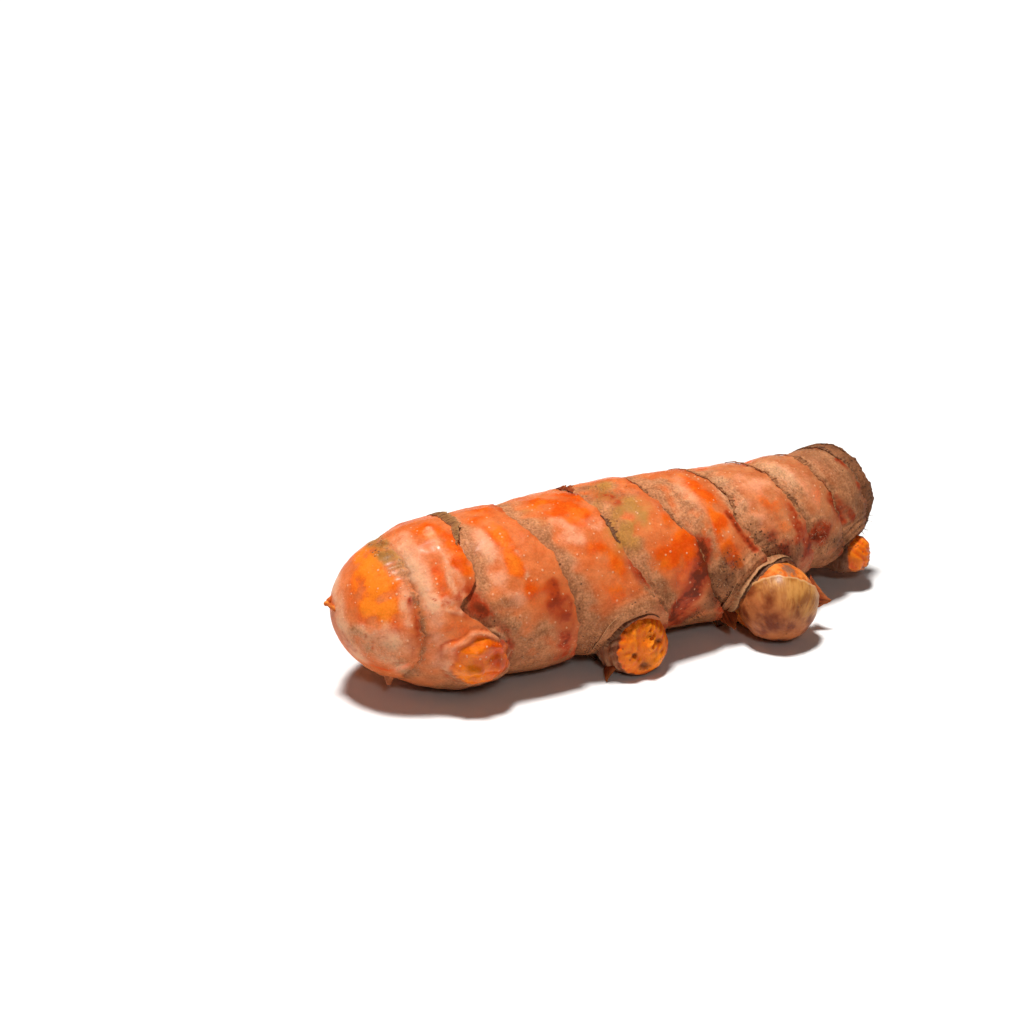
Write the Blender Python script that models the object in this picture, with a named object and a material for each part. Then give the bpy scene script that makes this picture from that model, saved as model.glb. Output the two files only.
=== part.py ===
"""A fresh turmeric rhizome lying on a table, as one solid.

The root is a bent, tapering body with a rounded growing tip at -X and a broken end at +X. Nine
slanted leaf-scar rings divide it into bands. Each band swells towards +X, ends in a thin lip and steps
down to the next one. Buds alternate between two sides: knobs on the front (-Y), low scars behind.
Lengths are in millimetres and become metres where a vertex is written.
"""

import math

import bmesh
import bpy
from mathutils import Vector

MM = 0.001

# Body: distances run along the axis, from the growing tip to the broken end.
LENGTH = 88.2
END_BEND = 4.6
BEND_POWER = 4
THICK_RADIUS = 12.4
THICK_TO = 46.0
FAR_FALL = 4.7
FAR_POWER = 1.4
TIP_DEPTH = 17.0
TIP_LIFT = 0.9
LIFTS_AT = 53.0
END_LIFT = 4.5
LIFT_POWER = 1.5

# Where the box of the whole root has its middle, from the middle of the axis.
BOX_MIDDLE = (1.6, -2.8)

# Rings: distance along the axis at the top, front, bottom and back of the root.
RINGS = (
    (8.3, 10.3, 6.4, 7.2),
    (17.5, 18.6, 21.6, 18.0),
    (27.1, 31.3, 33.2, 28.4),
    (39.2, 44.0, 50.5, 40.6),
    (48.7, 54.7, 60.0, 51.0),
    (60.3, 65.4, 68.4, 60.0),
    (70.3, 74.2, 76.5, 71.2),
    (79.0, 80.3, 82.4, 79.6),
    (85.6, 86.2, 86.4, 85.8),
    (88.2, 88.4, 87.8, 87.9),
)
# A ring is pushed along the root beside a bud: ring number, angle, half width in degrees, push.
RING_PUSHES = (
    (1, 112, 20, 2.2),
    (1, 67, 12, -3.2),
    (2, 66, 24, 0.9),
    (3, 108, 18, 1.2),
    (4, 62, 22, 1.4),
    (5, 52, 14, -1.4),
)
RING_WAVES = ((3, 0.24), (5, 0.18), (8, 0.14))

# Rise of the skin across a band: share of the band's width, height over the mean skin.
BAND_PROFILE = (
    (0.0, -0.40),
    (0.10, -0.22),
    (0.30, 0.12),
    (0.60, 0.42),
    (0.85, 0.52),
    (1.0, 0.42),
)
TIP_BAND_ROWS = 9
TIP_GROOVE = 0.3
LUMPS = ((2, 0.016, 0.06), (3, 0.012, -0.11), (5, 0.006, 0.17))

# The broken end: share of the rim's radius, depth behind the rim.
END_FACE = ((0.88, -0.2), (0.76, 0.8), (0.45, 1.0), (0.20, 0.6))

# Swellings of the skin under the buds and scars: distance, angle in degrees, half width, height.
SWELLINGS = (
    (17.0, 112, 4.4, 1.3),
    (41.8, 114, 6.0, 1.6),
    (64.6, 112, 6.4, 1.5),
    (82.0, 114, 4.0, 1.0),
    (24.0, 258, 4.6, 1.0),
    (47.5, 256, 4.6, 1.0),
    (68.0, 262, 3.8, 0.8),
)

# Buds: the middle of each is a distance along the axis, a distance out to the front and a height over
# the table. It leans from straight out to the front towards the far end, 180 being straight out behind,
# then rises. Its profile is (height over that middle, radius) from the sunk root to the crown, and the
# crown's tip comes last.
BUDS = {
    "front_scar": {
        "at": (16.8, 13.0, 8.3),
        "lean": -4,
        "rise": -20,
        "profile": (
            (-5.0, 3.4),
            (-0.9, 4.5),
            (0.2, 4.2),
            (0.5, 3.4),
            (0.6, 1.7),
        ),
        "tip": 0.8,
    },
    "cut_stub": {
        "at": (42.2, 14.2, 5.1),
        "lean": -10,
        "rise": 4,
        "profile": (
            (-9.0, 4.2),
            (-4.5, 5.6),
            (-2.8, 5.9),
            (-2.4, 5.7),
            (-2.3, 5.0),
            (0.0, 4.9),
            (0.9, 4.5),
            (1.2, 3.4),
            (0.9, 1.8),
        ),
        "tip": 1.2,
    },
    "round_bud": {
        "at": (65.8, 14.0, 6.4),
        "lean": -8,
        "rise": 8,
        "profile": (
            (-11.0, 4.6),
            (-6.5, 6.4),
            (-4.2, 7.0),
            (-3.5, 6.9),
            (-3.3, 5.9),
            (-1.8, 6.2),
            (0.3, 6.3),
            (2.4, 5.9),
            (4.2, 4.8),
            (5.4, 3.3),
            (6.0, 1.7),
        ),
        "tip": 6.3,
    },
    "small_stub": {
        "at": (84.4, 8.6, 5.6),
        "lean": 34,
        "rise": 2,
        "profile": (
            (-7.0, 1.8),
            (-2.6, 3.3),
            (-1.7, 3.4),
            (-1.5, 3.0),
            (0.6, 3.0),
            (1.5, 2.6),
            (2.1, 1.8),
        ),
        "tip": 2.3,
    },
    "near_scar": {
        "at": (24.4, -13.0, 9.6),
        "lean": 176,
        "rise": -8,
        "profile": (
            (-5.0, 3.6),
            (-0.6, 4.3),
            (0.2, 4.2),
            (0.5, 3.7),
            (0.0, 3.2),
            (0.1, 1.6),
        ),
        "tip": 0.4,
    },
    "far_scar": {
        "at": (47.8, -12.9, 9.2),
        "lean": 178,
        "rise": -8,
        "profile": (
            (-5.0, 3.4),
            (-0.6, 3.9),
            (0.3, 3.7),
            (0.6, 3.2),
            (0.1, 2.7),
            (0.2, 1.3),
        ),
        "tip": 0.5,
    },
}

# Dry scale leaves: the root of each by distance, distance out and height, the way it points as
# (along the axis, out, up), the way its width runs, then its length and width.
SCALE_LEAVES = {
    "right_scale": ((70.2, 14.6, 6.2), (0.80, 0.42, -0.42), (-0.2, 0.2, 1.0), 4.4, 6.0),
    "left_scale": ((61.0, 10.4, 3.2), (0.05, 0.55, -0.6), (1.0, 0.1, 0.1), 3.0, 4.4),
    "stub_scale": ((38.4, 11.0, 1.6), (-0.75, 0.5, -0.1), (0.4, 0.6, 0.5), 2.6, 3.6),
    "rootlet": ((7.6, 4.0, 1.5), (-0.1, 0.35, -0.8), (1.0, 0.0, 0.0), 0.9, 2.0),
}
SCALE_THICKNESS = 0.9
SCALE_SUNK = 2.0
SCALE_SIDES = 8
SCALE_TIP = 0.4

SEGMENTS = 44
BUD_SEGMENTS = 24

SKIN_COLOUR = (0.62, 0.27, 0.12, 1.0)
SKIN_ROUGHNESS = 0.55


def clear_scene():
    for old in list(bpy.data.objects):
        bpy.data.objects.remove(old, do_unlink=True)


def skin_material():
    made = bpy.data.materials.new("turmeric_skin")
    made.use_nodes = True
    shader = made.node_tree.nodes["Principled BSDF"]
    shader.inputs["Base Color"].default_value = SKIN_COLOUR
    shader.inputs["Roughness"].default_value = SKIN_ROUGHNESS
    shader.inputs["Metallic"].default_value = 0.0
    return made


def mean_radius(distance):
    """A quarter ellipse over the tip, then one girth, falling off beyond the thick part."""
    beyond = max(0.0, distance - THICK_TO) / (LENGTH - THICK_TO)
    short = max(0.0, 1 - distance / TIP_DEPTH)
    return (THICK_RADIUS - FAR_FALL * beyond**FAR_POWER) * math.sqrt(max(0.0, 1 - short**2))


def axis_height(distance):
    """The axis lies one girth over the table, lifted at the tip and along the far third."""
    girth = mean_radius(max(distance, TIP_DEPTH))
    tip = TIP_LIFT * max(0.0, 1 - distance / TIP_DEPTH) ** LIFT_POWER
    end = END_LIFT * (max(0.0, distance - LIFTS_AT) / (LENGTH - LIFTS_AT)) ** LIFT_POWER
    return girth + tip + end


def axis_place(distance):
    """The point of the axis, the way along it and the way out to the front. Both ends bend to the back."""
    share = 2 * distance / LENGTH - 1
    slope = END_BEND * BEND_POWER * share ** (BEND_POWER - 1) * 2 / LENGTH
    point = Vector(
        (
            distance - LENGTH / 2 - BOX_MIDDLE[0],
            END_BEND * share**BEND_POWER - BOX_MIDDLE[1],
            axis_height(distance),
        )
    )
    along = Vector((1, slope, 0)).normalized()
    front = Vector((along.y, -along.x, 0))
    return point, along, front


def off_axis(distance, out, height):
    """A point at a distance along the axis, a distance out to the front and a height over the table."""
    point, _, front = axis_place(distance)
    point = point + front * out
    point.z = height
    return point


def ring_distance(ring, angle):
    """Where a ring crosses an angle: a slanted loop through its four places, with pushes and waves."""
    top, front, bottom, back = RINGS[ring]
    place = (top + front + bottom + back) / 4
    place += (top - bottom) / 2 * math.cos(angle) + (front - back) / 2 * math.sin(angle)
    place += (top + bottom - front - back) / 4 * math.cos(2 * angle)
    for number, at, half_width, push in RING_PUSHES:
        if number == ring:
            place += push * math.exp(-((turn_between(angle, math.radians(at)) / math.radians(half_width)) ** 2))
    for count, height in RING_WAVES:
        place += height * math.sin(count * angle + 1.7 * count * ring)
    return place


def turn_between(one, other):
    """The shorter turn from one angle to the other."""
    return (one - other + math.pi) % (2 * math.pi) - math.pi


def swelling(distance, angle):
    """The rise of the skin under buds and scars: a bell over each."""
    rise = 0.0
    for at, degrees, half_width, height in SWELLINGS:
        across = turn_between(angle, math.radians(degrees)) * mean_radius(at)
        rise += height * math.exp(-((distance - at) ** 2 + across**2) / half_width**2)
    return rise


def lumpiness(distance, angle):
    """The skin's share of unevenness: slow waves round the root, turning along it."""
    return sum(
        height * math.sin(count * angle + twist * distance + count)
        for count, height, twist in LUMPS
    )


def skin_point(distance, angle, rise, share=1.0):
    """A point of the skin. The angle runs from the top over the front. The table flattens the underside."""
    point, _, front = axis_place(distance)
    radius = mean_radius(distance) * (1 + lumpiness(distance, angle))
    radius = share * (radius + rise + swelling(distance, angle))
    made = point + radius * (math.cos(angle) * Vector((0, 0, 1)) + math.sin(angle) * front)
    made.z = max(made.z, 0.0)
    return made


def skin_rows():
    """The rows of the body between its two poles, each as a function from angle to point."""
    rows = []
    for step in range(1, TIP_BAND_ROWS + 1):
        turn = math.pi / 2 * step / TIP_BAND_ROWS
        share = 1 - math.cos(turn)
        groove = -TIP_GROOVE * share**6
        rows.append(lambda a, share=share, groove=groove: skin_point(share * ring_distance(0, a), a, groove))
    for band in range(len(RINGS) - 1):
        for share, rise in BAND_PROFILE:
            rows.append(
                lambda a, band=band, share=share, rise=rise: skin_point(
                    ring_distance(band, a) * (1 - share) + ring_distance(band + 1, a) * share, a, rise
                )
            )
    for share, depth in END_FACE:
        rows.append(
            lambda a, share=share, depth=depth: skin_point(
                ring_distance(len(RINGS) - 1, a) * share + LENGTH * (1 - share) - depth, a, 0.0, share
            )
        )
    return rows


def rows_to_object(name, rows, first_pole, last_pole, segments):
    """A sphere whose rows of latitude are laid on the given rows, which keeps it closed at both poles."""
    shape = bmesh.new()
    bmesh.ops.create_uvsphere(shape, u_segments=segments, v_segments=len(rows) + 1, radius=1.0)
    for vert in shape.verts:
        x, y, z = vert.co
        row = round(math.acos(max(-1.0, min(1.0, z))) / math.pi * (len(rows) + 1))
        if row == 0:
            vert.co = first_pole * MM
        elif row == len(rows) + 1:
            vert.co = last_pole * MM
        else:
            vert.co = rows[row - 1](math.atan2(y, x)) * MM
    bmesh.ops.triangulate(shape, faces=shape.faces[:])
    bmesh.ops.recalc_face_normals(shape, faces=shape.faces[:])
    return mesh_object(name, shape)


def mesh_object(name, shape):
    mesh = bpy.data.meshes.new(name)
    shape.to_mesh(mesh)
    shape.free()
    return bpy.data.objects.new(name, mesh)


def body():
    tip = skin_point(0.0, 0.0, 0.0)
    end, _, _ = axis_place(LENGTH - END_FACE[-1][1] * 0.6)
    return rows_to_object("turmeric_rhizome", skin_rows(), tip, end, SEGMENTS)


def bud(name, at, lean, rise, profile, tip):
    """A turned knob about its own leaning axis, with its root sunk in the body."""
    middle = off_axis(*at)
    _, along, front = axis_place(at[0])
    lean, rise = math.radians(lean), math.radians(rise)
    outward = (math.cos(lean) * front + math.sin(lean) * along) * math.cos(rise)
    outward.z = math.sin(rise)
    across = outward.cross(Vector((0, 0, 1))).normalized()
    up = across.cross(outward)

    def row(height, radius):
        def point(angle):
            made = middle + outward * height + radius * (math.cos(angle) * up + math.sin(angle) * across)
            made.z = max(made.z, 0.0)
            return made

        return point

    rows = [row(height, radius) for height, radius in profile]
    root = middle + outward * (profile[0][0] - 0.5)
    return rows_to_object(name, rows, root, middle + outward * tip, BUD_SEGMENTS)


def scale_leaf(name, at, points, width_way, length, width):
    """A stiff, pointed scale: a cone with a blunt tip, pressed flat, its root sunk in."""
    root = off_axis(*at)
    _, along, front = axis_place(at[0])

    def in_space(way):
        return (along * way[0] + front * way[1] + Vector((0, 0, 1)) * way[2]).normalized()

    outward = in_space(points)
    wide = in_space(width_way)
    wide = (wide - outward * wide.dot(outward)).normalized()
    thick = outward.cross(wide)
    shape = bmesh.new()
    bmesh.ops.create_cone(
        shape, cap_ends=True, segments=SCALE_SIDES, radius1=1.0, radius2=SCALE_TIP, depth=1.0
    )
    for vert in shape.verts:
        x, y, z = vert.co
        reach = (z + 0.5) * (length + SCALE_SUNK) - SCALE_SUNK
        flat = wide * (x * width / 2) + thick * (y * SCALE_THICKNESS / 2)
        made = root + outward * reach + flat
        made.z = max(made.z, 0.0)
        vert.co = made * MM
    bmesh.ops.triangulate(shape, faces=shape.faces[:])
    bmesh.ops.recalc_face_normals(shape, faces=shape.faces[:])
    return mesh_object(name, shape)


def fused(grown, growths):
    """The body with everything that grows on it joined into one solid."""
    group = bpy.data.collections.new("growths")
    bpy.context.scene.collection.children.link(group)
    for growth in growths:
        group.objects.link(growth)
    join = grown.modifiers.new("join_growths", "BOOLEAN")
    join.operation = "UNION"
    join.operand_type = "COLLECTION"
    join.collection = group
    join.solver = "EXACT"
    graph = bpy.context.evaluated_depsgraph_get()
    mesh = bpy.data.meshes.new_from_object(grown.evaluated_get(graph))
    grown.modifiers.clear()
    grown.data = mesh
    for growth in growths:
        bpy.data.objects.remove(growth, do_unlink=True)
    bpy.data.collections.remove(group)


def main():
    clear_scene()
    group = bpy.data.collections.new("turmeric_root")
    bpy.context.scene.collection.children.link(group)
    rhizome = body()
    group.objects.link(rhizome)
    growths = [bud(name, **facts) for name, facts in BUDS.items()]
    growths += [scale_leaf(name, *facts) for name, facts in SCALE_LEAVES.items()]
    fused(rhizome, growths)
    rhizome.data.materials.clear()
    rhizome.data.materials.append(skin_material())
    rhizome.data.shade_smooth()
    rhizome.data.set_sharp_from_angle(angle=math.radians(50))


main()
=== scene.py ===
"""A fresh turmeric root lying on a pale table.

The skin is one surface laid band by band between the slanted leaf-scar rings, so that every ring has
a real lip and a real step. Colours are painted on it as strokes along the skin: bare orange, pink
blush, dry tan, red-brown stains and black dirt. Shade and light are painted on it too: painted shade
in the fold past each ring, at the ends of the bands with the red-brown stains and in part on the
underside, and a painted highlight on the dome. Buds, collars, papery scales and hairs are laid on it.
Lengths are in millimetres and become metres where a mesh is written.
"""

import math

import bpy
import numpy as np
from mathutils import Matrix


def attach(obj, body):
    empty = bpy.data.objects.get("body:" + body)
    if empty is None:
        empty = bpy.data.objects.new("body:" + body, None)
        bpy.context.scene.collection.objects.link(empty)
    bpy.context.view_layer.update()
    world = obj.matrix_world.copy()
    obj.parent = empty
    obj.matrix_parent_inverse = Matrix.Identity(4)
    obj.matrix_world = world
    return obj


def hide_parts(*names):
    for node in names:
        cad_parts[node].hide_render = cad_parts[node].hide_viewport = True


MM = 0.001
FULL_TURN = 2 * np.pi
NODE = "turmeric_rhizome"
BODY = "root"

# The body, along its axis from the growing tip to the broken end.
LENGTH = 88.2
END_BEND = 4.6
BEND_POWER = 4
THICK_RADIUS = 12.4
THICK_TO = 46.0
FAR_FALL = 4.7
FAR_POWER = 1.4
TIP_DEPTH = 17.0
TIP_LIFT = 0.9
LIFTS_AT = 53.0
END_LIFT = 4.5
LIFT_POWER = 1.5
BOX_MIDDLE = (1.6, -2.8)
# Waves round the root, height as a share of its radius, twist along it.
LUMPS = ((2, 0.016, 0.06), (3, 0.012, -0.11), (5, 0.006, 0.17))

# Rings: distance along the axis at the top, front, bottom and back.
RINGS = np.array(
    (
        (8.3, 10.3, 6.4, 7.2),
        (17.5, 18.6, 21.6, 18.0),
        (27.1, 31.3, 33.2, 28.4),
        (39.2, 44.0, 50.5, 40.6),
        (48.7, 54.7, 60.0, 51.0),
        (60.3, 65.4, 68.4, 60.0),
        (70.3, 74.2, 76.5, 71.2),
        (79.0, 80.3, 82.4, 79.6),
        (85.6, 86.2, 86.4, 85.8),
        (88.2, 88.4, 87.8, 87.9),
    )
)
# Ring number, angle, half width in degrees, push along the root.
RING_PUSHES = (
    (1, 112, 20, 2.2),
    (1, 67, 12, -3.2),
    (2, 66, 24, 0.9),
    (3, 108, 18, 1.2),
    (4, 62, 22, 1.4),
    (5, 52, 14, -1.4),
)
RING_WAVES = ((3, 0.24), (5, 0.18), (8, 0.14))
# Raggedness of a ring's edge: waves round the root, height.
RAGGED_WAVES = ((13, 0.10), (21, 0.09), (34, 0.07), (55, 0.05), (81, 0.03))

# Swellings of the skin under buds: distance, degrees, half width, height.
SWELLINGS = (
    (17.0, 112, 4.4, 1.0),
    (41.8, 114, 6.0, 1.6),
    (64.6, 112, 6.4, 1.5),
    (82.0, 114, 4.0, 1.0),
    (24.0, 258, 4.6, 1.0),
    (47.5, 256, 4.6, 1.0),
    (68.0, 262, 3.8, 0.8),
)

COLUMNS = 288
TIP_ROWS = 30
BAND_ROWS = 29
END_ROWS = 20
# Lips: the share of the overhang and the drop under the skin of each row past a ring.
LIP_ROWS = ((0.8, 0.03), (1.0, 0.12), (0.8, 0.26), (0.2, 0.50))
# The broken end: shares of its rim's radius and how far behind the rim the face lies there.
END_SHARES = (1.0, 0.94, 0.88, 0.82, 0.7, 0.5, 0.3, 0.0)
END_DEPTHS = (-0.1, -0.1, 0.4, 0.75, 0.95, 0.95, 0.6, 0.5)

# Buds: the place is a distance along the axis, a distance out to the front and a height over the
# table, then how far the bud leans towards the far end and how far it rises, in degrees.
STUB = ((42.2, 14.2, 5.1), 0, 4)
BALL = ((65.8, 14.0, 6.4), -8, 8)
SMALL = ((84.4, 8.6, 5.6), 34, 2)
# The brown scale of the round bud: the way its middle points (along x, y and up), its half opening, the
# waves of its edge, its radius and wall, and the way to its bright crown.
CAP_WAY = (-0.38, -0.83, -0.41)
CAP_OPENING = 1.56
CAP_WAVES = ((2, 0.03), (5, 0.022), (11, 0.014), (17, 0.012), (29, 0.01))
CAP_RADIUS = 6.14
CAP_WALL = 0.16
CAP_CROWN = (0.62, 0.08, 0.76)
# The round bud is a little smaller than its profile, to stay inside its scale.
BALL_SHARE = 0.945

# The camera: turned from straight in front towards the growing tip, looking down.
CAMERA_TURN = math.radians(29)
CAMERA_DOWN = math.radians(26)
CAMERA_DISTANCE = 450.0
CAMERA_LENS = 104.0
CAMERA_AIM = (-1.6, 4.8, 12.0)
CAMERA_AIM_LEFT = 13.2
CAMERA_AIM_UP = 7.2
# Half the table's width and the places of the lights are in metres.
TABLE_HALF = 3.0
STUDIO_TINT = (1.0, 0.985, 0.96, 1.0)
STUDIO_STRENGTH = 0.02
# Soft boxes: name, place, width, power and tint.
LIGHTS = (
    ("overhead", (-0.25, 0.06, 2.2), 0.36, 67.0, (1.0, 0.99, 0.97)),
    ("front", (-0.50, -1.40, 1.24), 0.24, 3.6, (1.0, 0.98, 0.95)),
)

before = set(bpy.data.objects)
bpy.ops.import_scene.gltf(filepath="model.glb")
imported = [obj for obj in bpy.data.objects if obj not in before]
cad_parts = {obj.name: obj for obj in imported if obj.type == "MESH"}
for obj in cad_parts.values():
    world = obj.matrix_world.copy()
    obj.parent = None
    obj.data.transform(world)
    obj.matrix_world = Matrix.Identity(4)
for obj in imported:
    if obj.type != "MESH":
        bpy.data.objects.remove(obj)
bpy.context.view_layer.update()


# Sums


def unit(vectors):
    """Vectors scaled to a length of one."""
    return vectors / np.linalg.norm(vectors, axis=-1, keepdims=True)


def bell(value, width):
    """1 where a value is 0, falling off on both sides over a width."""
    return np.exp(-((value / width) ** 2))


def step_up(value, low, high):
    """A smooth step from 0 at low to 1 at high."""
    share = np.clip((value - low) / (high - low), 0, 1)
    return share * share * (3 - 2 * share)


def turn_step(angle, low, high):
    """A smooth step between two angles in degrees."""
    return step_up(angle, math.radians(low), math.radians(high))


def turn_between(one, other):
    """The shorter turn from one angle to the other."""
    return (one - other + np.pi) % FULL_TURN - np.pi


def round_turn(angle, one, other):
    """The ring of ways at each angle, from one way round to the other."""
    return np.cos(angle)[..., None] * one + np.sin(angle)[..., None] * other


def mottle(places, size, seed, count=40):
    """Smooth noise in space, about -2 to 2: plane waves of one length in seeded directions."""
    dice = np.random.default_rng(seed)
    ways = unit(dice.normal(size=(count, 3))) * (FULL_TURN / size)
    total = np.zeros(places.shape[:-1])
    for way, phase in zip(ways, dice.uniform(0, FULL_TURN, count)):
        total = total + np.sin(places @ way + phase)
    return total / math.sqrt(count / 2)


def face_noise(across, upright, size, seed, radius=None):
    """Smooth noise on a flat face: seeded waves of one length. With a radius, the first place is an
    angle and the waves close round a bud."""
    dice = np.random.default_rng(seed)
    total = 0.0
    for way, phase in dice.uniform(0, FULL_TURN, (18, 2)):
        if radius:
            turns = np.round(FULL_TURN / size * radius * np.sin(way))
            total = total + np.sin(turns * across + FULL_TURN / size * np.cos(way) * upright + phase)
        else:
            wave = FULL_TURN / size * (np.cos(way) * across + np.sin(way) * upright)
            total = total + np.sin(wave + phase)
    return total / 3.0


# Shape of the body


def root_radius(distance):
    """A quarter ellipse over the tip, then one girth, falling off beyond the thick part."""
    beyond = np.maximum(0, distance - THICK_TO) / (LENGTH - THICK_TO)
    short = np.clip(1 - distance / TIP_DEPTH, 0, 1)
    return (THICK_RADIUS - FAR_FALL * beyond**FAR_POWER) * np.sqrt(1 - short**2)


def axis_place(distance):
    """The axis point, the way along it and the way to the front. Both ends bend to the back.

    The axis lies one girth over the table, lifted at the tip and along the far third.
    """
    distance = np.asarray(distance, float)
    share = 2 * distance / LENGTH - 1
    slope = END_BEND * BEND_POWER * share ** (BEND_POWER - 1) * 2 / LENGTH
    near = np.clip(1 - distance / TIP_DEPTH, 0, 1)
    far = np.maximum(0, distance - LIFTS_AT) / (LENGTH - LIFTS_AT)
    height = root_radius(np.maximum(distance, TIP_DEPTH))
    height = height + TIP_LIFT * near**LIFT_POWER + END_LIFT * far**LIFT_POWER
    sideways = END_BEND * share**BEND_POWER - BOX_MIDDLE[1]
    point = np.stack((distance - LENGTH / 2 - BOX_MIDDLE[0], sideways, height), -1)
    norm = np.hypot(1, slope)
    level = np.zeros_like(norm)
    along = np.stack((1 / norm, slope / norm, level), -1)
    return point, along, np.stack((slope / norm, -1 / norm, level), -1)


def ring_line(ring, angle):
    """Where a ring crosses each angle: a slanted loop with pushes, waves and a ragged edge."""
    top, front, bottom, back = RINGS[ring]
    place = (top + front + bottom + back) / 4 + (top - bottom) / 2 * np.cos(angle)
    place = place + (front - back) / 2 * np.sin(angle) + (top + bottom - front - back) / 4 * np.cos(2 * angle)
    for number, at, half_width, push in RING_PUSHES:
        if number == ring:
            place = place + push * bell(turn_between(angle, np.radians(at)), np.radians(half_width))
    for count, height in RING_WAVES:
        place = place + height * np.sin(count * angle + 1.7 * count * ring)
    for count, height in RAGGED_WAVES:
        place = place + height * np.sin(count * angle + 2.3 * count * ring + 1)
    return place


def plain_radius(distance, angle):
    """The skin's radius before its relief: girth, slow waves turning along it, a bell under each bud."""
    lumps = sum(height * np.sin(count * angle + twist * distance + count) for count, height, twist in LUMPS)
    radius = root_radius(distance) * (1 + lumps)
    for at, degrees, half_width, height in SWELLINGS:
        across = turn_between(angle, np.radians(degrees)) * root_radius(np.float64(at))
        radius = radius + height * bell(np.hypot(distance - at, across), half_width)
    return radius


def skin_place(distance, angle, rise=0.0, share=1.0):
    """Points of the skin: out from the axis by the radius and the rise. The table flattens the underside."""
    point, _, front = axis_place(distance)
    radius = share * (plain_radius(distance, angle) + rise)
    made = point + radius[..., None] * round_turn(angle, np.array((0.0, 0.0, 1.0)), front)
    made[..., 2] = np.maximum(made[..., 2], 0.0)
    return made


def skin_spot(distance, degrees, rise=0.2):
    """One point of the skin from a distance and an angle in degrees, or several from arrays."""
    distance = np.asarray(distance, float)
    return skin_place(distance, np.radians(np.asarray(degrees, float)), np.full(distance.shape, rise))


def depth_in_skin(places):
    """How deep places lie under the skin, taken across the axis."""
    distance = places[..., 0] + LENGTH / 2 + BOX_MIDDLE[0]
    for _ in range(2):
        point, along, _ = axis_place(distance)
        distance = distance + ((places - point) * along).sum(-1)
    point, _, front = axis_place(distance)
    out = ((places - point) * front).sum(-1)
    up = places[..., 2] - point[..., 2]
    return plain_radius(distance, np.arctan2(out, up)) + 0.25 - np.hypot(out, up)


# Meshes


def add_object(name, data):
    """A new object in the scene."""
    made = bpy.data.objects.new(name, data)
    bpy.context.scene.collection.objects.link(made)
    return made


def mesh_piece(name, places, faces):
    """A smooth mesh of places in millimetres."""
    mesh = bpy.data.meshes.new(name)
    mesh.from_pydata((places * MM).tolist(), [], faces)
    mesh.validate()
    mesh.update()
    mesh.shade_smooth()
    return add_object(name, mesh)


def closed_piece(name, rows):
    """A closed mesh over a grid of points whose columns run round and whose ends meet in two middle
    points. Faces are turned outwards by their volume."""
    count, columns = rows.shape[:2]
    places = rows.reshape(-1, 3)
    row, column = np.meshgrid(np.arange(count - 1) * columns, np.arange(columns), indexing="ij")
    ahead, beside = row + columns, (column + 1) % columns
    quads = np.stack((row + column, ahead + column, ahead + beside, row + beside), -1).reshape(-1, 4)
    around = np.arange(columns)
    beside = (around + 1) % columns
    last = (count - 1) * columns
    pole = np.full(columns, len(places))
    places = np.concatenate((places, rows[:1].mean(1), rows[-1:].mean(1)))
    near = np.stack((pole, around, beside), -1)
    triangles = np.concatenate((near, np.stack((last + around, pole + 1, last + beside), -1)))
    corners = places[np.concatenate((quads[:, (0, 1, 2)], quads[:, (0, 2, 3)], triangles))]
    if np.einsum("ij,ij->", corners[:, 0], np.cross(corners[:, 1], corners[:, 2])) < 0:
        quads, triangles = quads[:, ::-1], triangles[:, ::-1]
    return mesh_piece(name, places, quads.tolist() + triangles.tolist())


def paint(piece, name, values, kind="FLOAT"):
    """Keeps one number for each point of a piece, or three, the poles taking the mean of their rows."""
    values = np.asarray(values, float)
    size = 3 if kind == "FLOAT_VECTOR" else 1
    flat = values.reshape(-1, size)
    if len(piece.data.vertices) - len(flat) == 2:
        ends = [row.mean(1).reshape(1, size) for row in (values[:1], values[-1:])]
        flat = np.concatenate((flat, *ends))
    layer = piece.data.attributes.new(name, kind, "POINT")
    layer.data.foreach_set("vector" if size == 3 else "value", flat.astype(np.float32).ravel())


def finish_piece(piece, material):
    piece.data.materials.append(material)
    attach(piece, BODY)
    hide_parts(NODE)


# Strokes along the skin: points as distance and degrees in turn, then half width and amount.

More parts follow.
